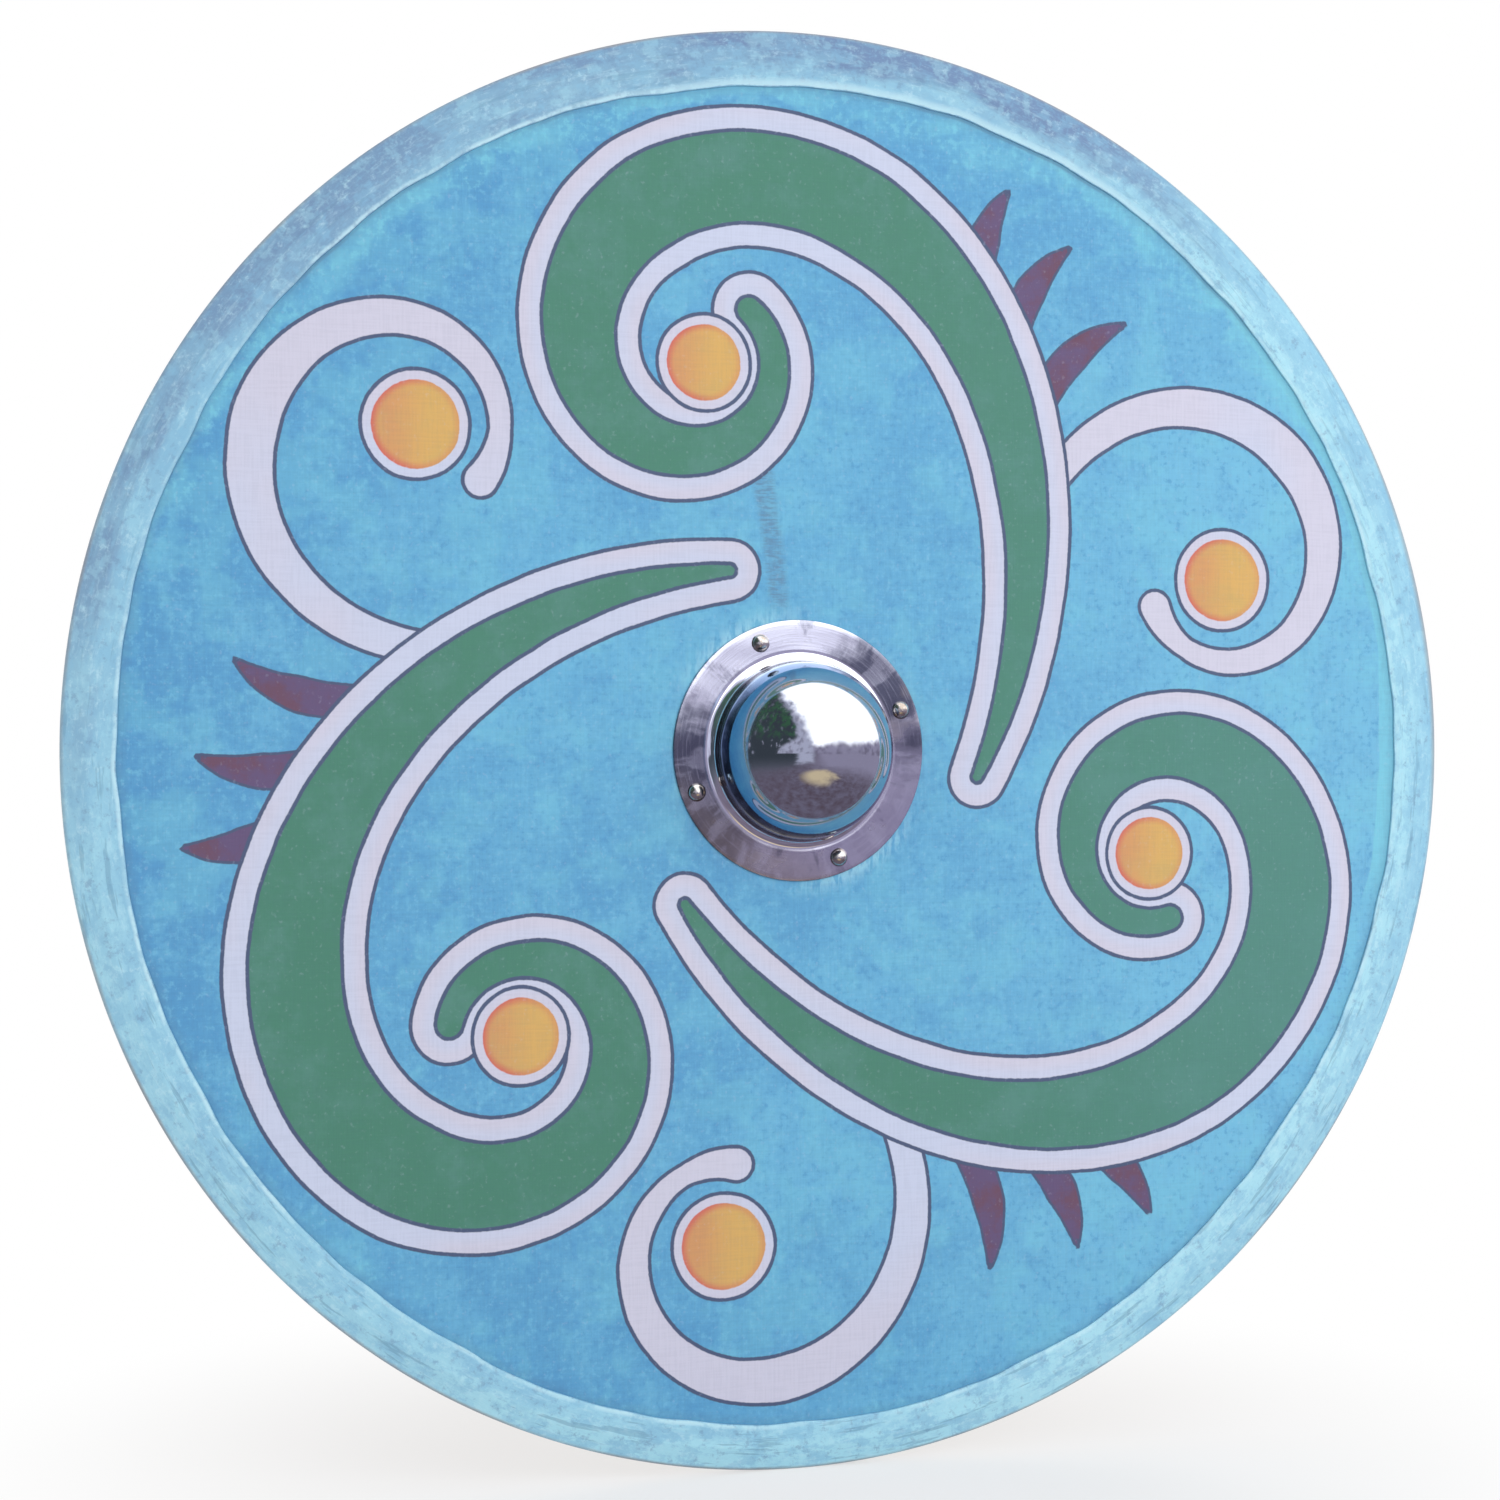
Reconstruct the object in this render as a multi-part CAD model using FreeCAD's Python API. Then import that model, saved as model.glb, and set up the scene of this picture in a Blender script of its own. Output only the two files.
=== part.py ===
"""Round shield: a plank board with a linen face, a folded edging, a raised steel boss and a grip bar.

The shield stands upright, with its axis along Y and its painted face towards -Y. The origin is
the middle of the hand grip, behind the boss. Lengths are millimetres and angles are degrees.
A "level" is a place along Y: the wall of the boss has the lowest levels, the grip the highest.
"""

import FreeCAD
import Part

import math
import os

# Board of planks
board_diameter = 832.0
board_thickness = 8.0
front_bevel_width = 13.0
front_bevel_drop = 3.0
back_taper_drop = 2.0
plank_edge_chamfer = 1.0
side_plank_shares = (0.330, 0.330, 0.340)
rivet_to_joint_margin = 7.0

# Linen glued on the front
linen_thickness = 0.8

# Edging folded over the rim, in two lengths
edging_thickness = 1.8
edging_front_width = 29.0
edging_back_width = 20.0
edging_joint_angle = 237.5
edging_joint_gap = 0.6
bevelled_bend_angle = 30.0

# Hand hole and boss
hand_hole_radius = 48.0
boss_hole_step = 1.7
boss_wall = 1.8
boss_neck_height = 8.0
boss_root_radius = 7.0
flange_width = 24.5

# Rivets of the boss
rivet_count = 4
rivet_turn = 21.0
rivet_edge_distance = 9.5
rivet_shank_radius = 2.5
rivet_head_radius = 5.4
rivet_head_height = 3.8
rivet_peen_radius = 4.2
rivet_peen_top_radius = 2.6
rivet_peen_height = 1.8
rove_width = 13.0
rove_thickness = 1.5

# Grip bar
grip_width = 32.0
grip_depth = 24.0
grip_front_round = 9.0
grip_back_round = 10.0
grip_shoulder_length = 60.0
grip_shoulder_depth = 15.0
grip_end_width = 22.0
grip_end_depth = 8.0
grip_end_round = 3.5
grip_nose_length = 7.0
grip_end_margin = 35.0
grip_to_taper_margin = 4.0
grip_to_rove_clearance = 2.5
grip_station_count = 8
grip_nose_share = 0.6

# Nails of the grip bar
nail_shank_radius = 1.7
nail_head_radius = 4.5
nail_head_depth = 1.8
nail_peen_radius = 3.0
nail_peen_top_radius = 1.9
nail_peen_height = 1.2
nail_rove_width = 11.0
nail_rove_thickness = 1.2

# Fits
hole_clearance = 0.1
overrun = 1.0

# Places that follow from the sizes
board_radius = board_diameter / 2
edging_radius = board_radius + edging_thickness
board_back = -grip_depth / 2
board_front = board_back - board_thickness
linen_front = board_front - linen_thickness
bevel_start_radius = board_radius - front_bevel_width
bar_half_length = edging_radius - edging_back_width - grip_end_margin
taper_start_radius = bar_half_length + grip_to_taper_margin
front_rim_level = board_front + front_bevel_drop
back_rim_level = board_back - back_taper_drop
boss_neck_radius = hand_hole_radius + boss_hole_step + boss_wall
flange_radius = boss_neck_radius + flange_width
flange_front = linen_front - boss_wall
rivet_circle_radius = flange_radius - rivet_edge_distance
shoulder_x = hand_hole_radius + grip_shoulder_length
rivet_reach = rivet_circle_radius * math.cos(math.radians(rivet_turn))
rivet_rise = rivet_circle_radius * math.sin(math.radians(rivet_turn))
shoulder_half_width = rivet_rise - rove_width / 2 - grip_to_rove_clearance
middle_plank_half_width = rivet_reach + rivet_shank_radius + hole_clearance + rivet_to_joint_margin

ORIGIN = FreeCAD.Vector(0, 0, 0)
SHIELD_AXIS = FreeCAD.Vector(0, 1, 0)


def at(radius, level):
    """A point of a profile, in the half plane that is turned about the shield's axis."""
    return FreeCAD.Vector(radius, level, 0)


def line(start, end):
    """A straight edge."""
    return Part.LineSegment(start, end).toShape()


def outline(points):
    """Straight edges round a closed figure."""
    return [line(a, b) for a, b in zip(points, points[1:] + points[:1])]


def cap_arc(level, radius, top):
    """Edge of a round cap's profile, from its foot at a radius and level to its top on the axis."""
    rise = abs(top - level)
    cap_radius = (radius * radius + rise * rise) / (2 * rise)
    towards = 1 if top > level else -1
    centre = top - towards * cap_radius
    half_turn = math.atan2(radius, towards * (level - centre)) / 2
    middle = at(cap_radius * math.sin(half_turn), centre + towards * cap_radius * math.cos(half_turn))
    return Part.Arc(at(radius, level), middle, at(0, top)).toShape()


def corner_arc(centre, radius, start_turn, end_turn):
    """Arc in a profile's plane about a centre, between two directions in degrees."""
    turns = [math.radians(t) for t in (start_turn, (start_turn + end_turn) / 2, end_turn)]
    places = [centre + FreeCAD.Vector(math.cos(t), math.sin(t), 0) * radius for t in turns]
    return Part.Arc(*places).toShape()


def turned(edges, sweep=360.0):
    """Solid that profile edges sweep about the shield's axis."""
    face = Part.Face(Part.Wire(Part.__sortEdges__(edges)))
    return face.revolve(ORIGIN, SHIELD_AXIS, sweep)


def rod(radius, start_level, end_level, x=0.0, z=0.0):
    """Round bar along Y between two levels."""
    foot = FreeCAD.Vector(x, start_level, z)
    return Part.makeCylinder(radius, end_level - start_level, foot, SHIELD_AXIS)


def square_bar(width, start_level, end_level, x=0.0, z=0.0):
    """Square bar along Y between two levels."""
    corner = FreeCAD.Vector(x - width / 2, start_level, z - width / 2)
    return Part.makeBox(width, end_level - start_level, width, corner)


def skin_profile(path, thickness):
    """Profile of a sheet outside a convex path, with each sharp bend bevelled on its outside."""
    steps = [(b - a).normalize() for a, b in zip(path, path[1:])]
    normals = [FreeCAD.Vector(s.y, -s.x, 0) for s in steps]
    outside = [path[0] + normals[0] * thickness]
    for bend, before, after in zip(path[1:], normals, normals[1:]):
        fan = [before, after]
        if math.degrees(before.getAngle(after)) > bevelled_bend_angle:
            fan.insert(1, (before + after).normalize())
        for a, b in zip(fan, fan[1:]):
            outside.append(bend + (a + b) * (thickness / (1 + a.dot(b))))
    outside.append(path[-1] + normals[-1] * thickness)
    return outline(path + outside[::-1])


def rivet_places():
    """Where the rivets of the boss stand, as (x, z)."""
    turns = [math.radians(rivet_turn + 360 / rivet_count * i) for i in range(rivet_count)]
    return [(rivet_circle_radius * math.cos(t), rivet_circle_radius * math.sin(t)) for t in turns]


def plank_spans():
    """Left and right edge of each plank: the middle one holds every rivet, and three fill each side."""
    spans = [(-middle_plank_half_width, middle_plank_half_width)]
    edge = middle_plank_half_width
    for share in side_plank_shares:
        next_edge = edge + share * (board_radius - middle_plank_half_width)
        spans = [(-next_edge, -edge)] + spans + [(edge, next_edge)]
        edge = next_edge
    return spans


def nail_places():
    """Where nails hold the grip bar: in the middle of its run over each plank beside the hand hole."""
    places = []
    for left, right in plank_spans():
        if left < 0 < right:
            continue
        places.append((max(left, -bar_half_length) + min(right, bar_half_length)) / 2)
    return places


def arm_depth(x):
    """Depth of the bar's straight arm at a distance from the middle."""
    share = (abs(x) - shoulder_x) / (bar_half_length - grip_nose_length - shoulder_x)
    return grip_shoulder_depth + (grip_end_depth - grip_shoulder_depth) * share


def nail_seat(x):
    """Level of the flat that a nail's rove sits on, cut in the bar's sloping back."""
    return board_back + arm_depth(abs(x) + nail_rove_width / 2 + hole_clearance)


def rivet_holes(clear_front, clear_back):
    """Cutters for the rivets of the boss."""
    radius = rivet_shank_radius + hole_clearance
    return [rod(radius, clear_front, clear_back, x, z) for x, z in rivet_places()]


def nail_profile(front_level, clearance):
    """Profile of a nail's head and of the shank below it, as far as a level behind the bar."""
    shank = nail_shank_radius + clearance
    head = nail_head_radius + clearance
    far = grip_depth / 2 + overrun
    return [at(0, front_level), at(head, front_level), at(shank, front_level + nail_head_depth),
            at(shank, far), at(0, far)]


def nail_holes():
    """Cutters for the grip nails, with the seats of their heads in the board's front."""
    cutter = turned(outline(nail_profile(board_front, hole_clearance)))
    return [cutter.translated(FreeCAD.Vector(x, 0, 0)) for x in nail_places()]


def board_disc():
    """The whole board, bevelled at the front of its rim and thinned behind."""
    return turned(outline([
        at(0, board_front),
        at(bevel_start_radius, board_front),
        at(board_radius, front_rim_level),
        at(board_radius, back_rim_level),
        at(taper_start_radius, board_back),
        at(0, board_back),
    ]))


def plank_blank(left, right):
    """A full plank with the long edges of its back chamfered."""
    shoulder = board_back - plank_edge_chamfer
    section = [
        at(left, board_front),
        at(right, board_front),
        at(right, shoulder),
        at(right - plank_edge_chamfer, board_back),
        at(left + plank_edge_chamfer, board_back),
        at(left, shoulder),
    ]
    face = Part.Face(Part.Wire(outline(section)))
    face.translate(FreeCAD.Vector(0, 0, -board_radius))
    return face.extrude(FreeCAD.Vector(0, 0, board_diameter))


def make_planks():
    """Planks side by side, cut to the disc, with the hand hole and every rivet and nail hole."""
    disc = board_disc()
    holes = [rod(hand_hole_radius, board_front - overrun, board_back + overrun)]
    holes += rivet_holes(board_front - overrun, board_back + overrun)
    holes += nail_holes()
    return [plank_blank(left, right).common(disc).cut(holes) for left, right in plank_spans()]


def make_linen():
    """Linen over the whole front, down the bevel to the board's edge."""
    path = [
        at(hand_hole_radius, board_front),
        at(bevel_start_radius, board_front),
        at(board_radius, front_rim_level),
    ]
    edges = skin_profile(path, linen_thickness)
    sheet = turned(edges)
    beyond = rod(board_radius, linen_front - overrun, board_back)
    return sheet.common(beyond).cut(rivet_holes(linen_front - overrun, board_front + overrun))


def linen_level(radius):
    """Level of the linen's front at a radius, on its flat or on its bevel."""
    slope = front_bevel_drop / front_bevel_width
    lift = linen_thickness * math.hypot(1, slope)
    on_bevel = front_rim_level - (board_radius - radius) * slope - lift
    return max(on_bevel, linen_front)


def make_edging():
    """Two lengths of edging, folded over the linen, the rim and the back of the planks."""
    slope = front_bevel_drop / front_bevel_width
    ridge_radius = board_radius - (front_rim_level - linen_front) / slope
    ridge_radius += linen_thickness * math.hypot(1, slope) / slope
    back_slope = back_taper_drop / (board_radius - taper_start_radius)
    back_end_radius = edging_radius - edging_back_width
    path = [
        at(edging_radius - edging_front_width, linen_front),
        at(ridge_radius, linen_front),
        at(board_radius, linen_level(board_radius)),
        at(board_radius, back_rim_level),
        at(back_end_radius, back_rim_level + (board_radius - back_end_radius) * back_slope),
    ]
    gap_turn = math.degrees(edging_joint_gap / board_radius)
    half = turned(skin_profile(path, edging_thickness), 180 - gap_turn)
    turns = (-edging_joint_angle, 180 - edging_joint_angle)
    return [half.rotated(ORIGIN, SHIELD_AXIS, turn) for turn in turns]


def make_boss():
    """Raised boss: flange, rounded root, upright neck and round dome, all of one sheet."""
    bend = at(boss_neck_radius + boss_root_radius, flange_front - boss_root_radius)
    neck_top = flange_front - boss_neck_height
    inside_radius = boss_neck_radius - boss_wall
    edges = [
        line(at(flange_radius, linen_front), at(flange_radius, flange_front)),
        line(at(flange_radius, flange_front), at(bend.x, flange_front)),
        corner_arc(bend, boss_root_radius, 90, 180),
        line(at(boss_neck_radius, bend.y), at(boss_neck_radius, neck_top)),
        cap_arc(neck_top, boss_neck_radius, neck_top - boss_neck_radius),
        line(at(0, neck_top - boss_neck_radius), at(0, neck_top - inside_radius)),
        cap_arc(neck_top, inside_radius, neck_top - inside_radius),
        line(at(inside_radius, neck_top), at(inside_radius, bend.y)),
        corner_arc(bend, boss_root_radius + boss_wall, 90, 180),
        line(at(bend.x, linen_front), at(flange_radius, linen_front)),
    ]
    return turned(edges).cut(rivet_holes(flange_front - overrun, linen_front + overrun))


def make_rivets():
    """Rivets of the boss, domed in front and peened over their roves behind."""
    rove_back = board_back + rove_thickness
    head_top = flange_front - rivet_head_height
    peen_top = rove_back + rivet_peen_height
    edges = [
        cap_arc(flange_front, rivet_head_radius, head_top),
        line(at(rivet_head_radius, flange_front), at(rivet_shank_radius, flange_front)),
        line(at(rivet_shank_radius, flange_front), at(rivet_shank_radius, rove_back)),
        line(at(rivet_shank_radius, rove_back), at(rivet_peen_radius, rove_back)),
        line(at(rivet_peen_radius, rove_back), at(rivet_peen_top_radius, peen_top)),
        line(at(rivet_peen_top_radius, peen_top), at(0, peen_top)),
        line(at(0, peen_top), at(0, head_top)),
    ]
    rivet = turned(edges)
    return [rivet.translated(FreeCAD.Vector(x, 0, z)) for x, z in rivet_places()]


def make_rivet_roves():
    """Square plates under the peened ends of the rivets."""
    rove = square_bar(rove_width, board_back, board_back + rove_thickness)
    rove = rove.cut(rod(rivet_shank_radius + hole_clearance, board_back - overrun, 0))
    return [rove.translated(FreeCAD.Vector(x, 0, z)) for x, z in rivet_places()]


def smooth_share(x, start, end):
    """1 as far as a start, 0 from an end on, and a smooth slope between them."""
    share = min(max((end - x) / (end - start), 0), 1)
    return share * share * (3 - 2 * share)


def grip_section(x, half_width, back, back_round, front_round=overrun / 2):
    """Section of the bar at x: a rounded rectangle in Y and Z, begun an overrun inside the board.

    What lies inside the board is cut off later, and the slight rounds at its front with it.
    """
    front = board_back - overrun
    corners = [
        (1, front + front_round, front_round, 270),
        (1, back - back_round, back_round, 0),
        (-1, back - back_round, back_round, 90),
        (-1, front + front_round, front_round, 180),
    ]
    arcs = []
    for side, level, radius, turn in corners:
        centre = at(side * (half_width - radius), level)
        arcs.append(corner_arc(centre, radius, turn, turn + 90))
    edges = []
    for arc, following in zip(arcs, arcs[1:] + arcs[:1]):
        edges += [arc, line(arc.Vertexes[-1].Point, following.Vertexes[0].Point)]
    wire = Part.Wire(edges)
    wire.rotate(ORIGIN, SHIELD_AXIS, -90)
    wire.translate(FreeCAD.Vector(x, 0, 0))
    return wire


def hand_part_section(x):
    """Section of the carved middle of the bar, full in the hand and lower at its shoulders."""
    in_hand = smooth_share(abs(x), 0, hand_hole_radius)
    off_board = smooth_share(abs(x), hand_hole_radius / 2, hand_hole_radius)
    raised = smooth_share(abs(x), hand_hole_radius / 2, shoulder_x)
    half_width = shoulder_half_width + (grip_width / 2 - shoulder_half_width) * in_hand
    depth = grip_shoulder_depth + (grip_depth + overrun - grip_shoulder_depth) * raised
    front_round = overrun / 2 + (grip_front_round - overrun / 2) * off_board
    back_round = grip_end_round + (grip_back_round - grip_end_round) * raised
    return grip_section(x, half_width, board_back + depth, back_round, front_round)


def arm_sections(side):
    """Sections of a tapering arm of the bar, from its shoulder to its rounded nose."""
    half = grip_end_width / 2
    shoulder_back = board_back + grip_shoulder_depth
    end_back = board_back + grip_end_depth
    tip_back = board_back + grip_end_depth * grip_nose_share
    tip_round = grip_end_round * grip_nose_share
    return [
        grip_section(side * shoulder_x, shoulder_half_width, shoulder_back, grip_end_round),
        grip_section(side * (bar_half_length - grip_nose_length), half, end_back, grip_end_round),
        grip_section(side * bar_half_length, half * grip_nose_share, tip_back, tip_round),
    ]


def make_grip_bar():
    """Grip bar of one piece: a hand part across the hole and an arm along the board on each side."""
    steps = range(-grip_station_count, grip_station_count + 1)
    stations = [shoulder_x * step / grip_station_count for step in steps]
    bar = Part.makeLoft([hand_part_section(x) for x in stations], True, False, False, 3)
    bar = bar.fuse([Part.makeLoft(arm_sections(side), True, True) for side in (-1, 1)])
    length = 2 * (bar_half_length + overrun)
    width = 2 * (max(grip_width, 2 * shoulder_half_width) + overrun)
    corner = FreeCAD.Vector(-length / 2, board_back, -width / 2)
    bar = bar.common(Part.makeBox(length, grip_depth, width, corner))
    seat_width = nail_rove_width + 2 * hole_clearance
    seats = [square_bar(seat_width, nail_seat(x), grip_depth / 2 + overrun, x) for x in nail_places()]
    return bar.cut(nail_holes() + seats)


def make_grip_nails():
    """Nails with flush heads under the linen, peened over roves behind the bar."""
    nails = []
    for x in nail_places():
        rove_back = nail_seat(x) + nail_rove_thickness
        peen_top = rove_back + nail_peen_height
        head_foot = board_front + nail_head_depth
        profile = outline([
            at(0, board_front),
            at(nail_head_radius, board_front),
            at(nail_shank_radius, head_foot),
            at(nail_shank_radius, rove_back),
            at(nail_peen_radius, rove_back),
            at(nail_peen_top_radius, peen_top),
            at(0, peen_top),
        ])
        nails.append(turned(profile).translated(FreeCAD.Vector(x, 0, 0)))
    return nails


def make_nail_roves():
    """Square plates under the peened ends of the nails."""
    roves = []
    for x in nail_places():
        seat = nail_seat(x)
        plate = square_bar(nail_rove_width, seat, seat + nail_rove_thickness, x)
        bore = rod(nail_shank_radius + hole_clearance, seat - overrun, seat + nail_rove_thickness + overrun, x)
        roves.append(plate.cut(bore))
    return roves


def build():
    """Every piece of the shield, as a shape for each node."""
    nodes = {f"plank_{i}": plank for i, plank in enumerate(make_planks(), start=1)}
    nodes["linen_facing"] = make_linen()
    for i, length in enumerate(make_edging(), start=1):
        nodes[f"rim_edging_{i}"] = length
    nodes["boss"] = make_boss()
    for i, (rivet, rove) in enumerate(zip(make_rivets(), make_rivet_roves()), start=1):
        nodes[f"boss_rivet_{i}"] = rivet
        nodes[f"boss_rove_{i}"] = rove
    nodes["grip_bar"] = make_grip_bar()
    nodes["grip_nails"] = Part.makeCompound(make_grip_nails())
    nodes["grip_nail_roves"] = Part.makeCompound(make_nail_roves())
    return nodes


os.makedirs("parts", exist_ok=True)
for name, shape in build().items():
    print(name, "solids", len(shape.Solids), "volume", round(shape.Volume), "valid", shape.isValid())
    shape.exportStep(f"parts/{name}.step")
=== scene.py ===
"""Looks of a round painted shield with a steel boss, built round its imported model.

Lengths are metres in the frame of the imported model: the shield stands upright, its axis is Y and
its painted face looks towards -Y. Sizes in millimetres are written as a number times MM.
"""

import math
from types import SimpleNamespace

import bmesh
import bpy
import numpy as np
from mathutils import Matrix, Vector


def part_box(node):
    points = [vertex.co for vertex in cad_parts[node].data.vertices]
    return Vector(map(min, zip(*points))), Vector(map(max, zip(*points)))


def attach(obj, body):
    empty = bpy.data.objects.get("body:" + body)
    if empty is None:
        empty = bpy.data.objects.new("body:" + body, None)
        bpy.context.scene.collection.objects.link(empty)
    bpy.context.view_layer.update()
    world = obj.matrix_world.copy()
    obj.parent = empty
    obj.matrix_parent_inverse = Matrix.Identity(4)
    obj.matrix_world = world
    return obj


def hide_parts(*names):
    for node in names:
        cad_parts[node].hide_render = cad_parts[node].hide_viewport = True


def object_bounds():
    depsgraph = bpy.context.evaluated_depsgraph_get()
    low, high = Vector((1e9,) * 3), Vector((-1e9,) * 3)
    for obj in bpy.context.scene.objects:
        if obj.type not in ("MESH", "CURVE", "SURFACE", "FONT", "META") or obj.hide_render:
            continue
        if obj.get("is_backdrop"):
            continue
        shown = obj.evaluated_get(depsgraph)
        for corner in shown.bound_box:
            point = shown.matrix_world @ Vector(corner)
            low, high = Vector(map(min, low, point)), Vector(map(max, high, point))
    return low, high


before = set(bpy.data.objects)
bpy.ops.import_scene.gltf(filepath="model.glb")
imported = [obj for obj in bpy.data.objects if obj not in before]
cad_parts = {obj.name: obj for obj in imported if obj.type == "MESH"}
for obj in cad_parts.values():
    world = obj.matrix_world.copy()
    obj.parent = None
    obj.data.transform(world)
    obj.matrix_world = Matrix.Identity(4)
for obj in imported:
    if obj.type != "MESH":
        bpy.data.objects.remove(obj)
cad_low, cad_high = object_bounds()

MM = 0.001
BODY = "root"
FACE_PLANE = (1.0, 0.0, 1.0)
FLOOR_PLANE = (1.0, 1.0, 0.0)

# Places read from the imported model
facing_low, facing_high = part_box("linen_facing")
boss_low, boss_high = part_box("boss")
plank_low, plank_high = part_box("plank_4")
board_radius = facing_high.x
linen_front = facing_low.y
board_front = plank_low.y
board_back = plank_high.y
rim_radius = cad_high.x
flange_radius = boss_high.x

# Shape of the board under the linen and the edging
HAND_HOLE_RADIUS = 48 * MM
BEVEL_WIDTH = 13 * MM
BEVEL_DROP = 3 * MM
BACK_TAPER_DROP = 2 * MM
BACK_TAPER_WIDTH = 49.2 * MM
LINEN_THICKNESS = 0.8 * MM
EDGING_THICKNESS = 1.8 * MM
EDGING_FRONT_WIDTH = 29.6 * MM
EDGING_BACK_WIDTH = 20 * MM
EDGING_JOINT_ANGLE = 237.5
EDGING_JOINT_GAP = 0.02 * MM
bevel_start = board_radius - BEVEL_WIDTH

# Shape of the boss
BOSS_WALL = 1.8 * MM
DOME_RADIUS = 51.5 * MM
ROOT_RADIUS = 7 * MM
RIVET_CIRCLE_RADIUS = 66.5 * MM
FLANGE_SLOPE = 0.045
FLANGE_EDGE_ROUNDING = 0.5 * MM
dome_level = boss_low.y + DOME_RADIUS
flange_front = linen_front - BOSS_WALL
root_level = flange_front - ROOT_RADIUS
root_end = DOME_RADIUS + ROOT_RADIUS

# Linear colours
GROUND_BLUE = (0.135, 0.440, 0.690)
GROUND_DEEP = (0.078, 0.302, 0.578)
GROUND_LIGHT = (0.185, 0.525, 0.745)
GROUND_TURQUOISE = (0.200, 0.600, 0.740)
GROUND_GREY = (0.120, 0.250, 0.400)
LINE_SLATE = (0.068, 0.096, 0.185)
LEAF_GREEN = (0.062, 0.225, 0.155)
LEAF_GREEN_PALE = (0.090, 0.255, 0.205)
LEAF_TEAL = (0.085, 0.260, 0.235)
BORDER_WHITE = (0.600, 0.645, 0.820)
BORDER_LILAC = (0.640, 0.625, 0.760)
PLUM = (0.125, 0.082, 0.185)
PLUM_RED = (0.150, 0.070, 0.120)
GOLD = (0.700, 0.420, 0.125)
GOLD_ORANGE = (0.660, 0.320, 0.130)
GOLD_PALE = (0.560, 0.430, 0.160)
GOLD_EDGE = (0.640, 0.150, 0.110)
BAND_LIGHT = (0.410, 0.745, 0.870)
BAND_MIDDLE = (0.250, 0.530, 0.730)
BAND_LAVENDER = (0.155, 0.255, 0.440)
BAND_DARK = (0.110, 0.250, 0.390)
# Pale paint marks, and the painted highlight along the inner edge
BAND_PALE_AND_HIGHLIGHT = (0.560, 0.820, 0.920)
# Rubbed paint on the outer edge, and painted shade there at the right
BAND_WEAR_AND_SHADE = (0.330, 0.330, 0.350)
HIDE = (0.480, 0.370, 0.230)
HIDE_DARK = (0.330, 0.230, 0.130)
STEEL = (0.540, 0.555, 0.600)
# Painted reflection of the blue board, round the dome's rim
BOARD_BLUE_REFLECTION = (0.210, 0.335, 0.490)
STEEL_VIOLET = (0.480, 0.460, 0.570)
# Dark steel of the hollow, and painted shade on the flange's sides and in its sheen
DARK_STEEL_AND_SHADE = (0.112, 0.118, 0.170)
# Pale steel: painted reflection at the flange's top, painted sheen and brush marks
STEEL_PALE = (0.690, 0.695, 0.800)
# Painted dark reflection on the boss's neck
STEEL_DARK_REFLECTION = (0.040, 0.045, 0.080)
# Painted highlight on the root of the dome
STEEL_HIGHLIGHT = (0.900, 0.905, 0.950)
STEEL_TAN = (0.420, 0.350, 0.290)
STEEL_WARM = (0.600, 0.560, 0.520)
IRON = (0.090, 0.080, 0.078)
IRON_RUST = (0.180, 0.085, 0.045)
PINE = (0.560, 0.390, 0.215)
PINE_DARK = (0.360, 0.200, 0.090)
ASH_WOOD = (0.430, 0.285, 0.155)
ASH_WOOD_DARK = (0.240, 0.140, 0.070)
WOOD_GREY = (0.200, 0.160, 0.120)
SEAM_DARK = (0.050, 0.032, 0.020)
FLOOR_PALE = (0.800, 0.800, 0.800)
WHITE = (1.0, 1.0, 1.0)


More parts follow.
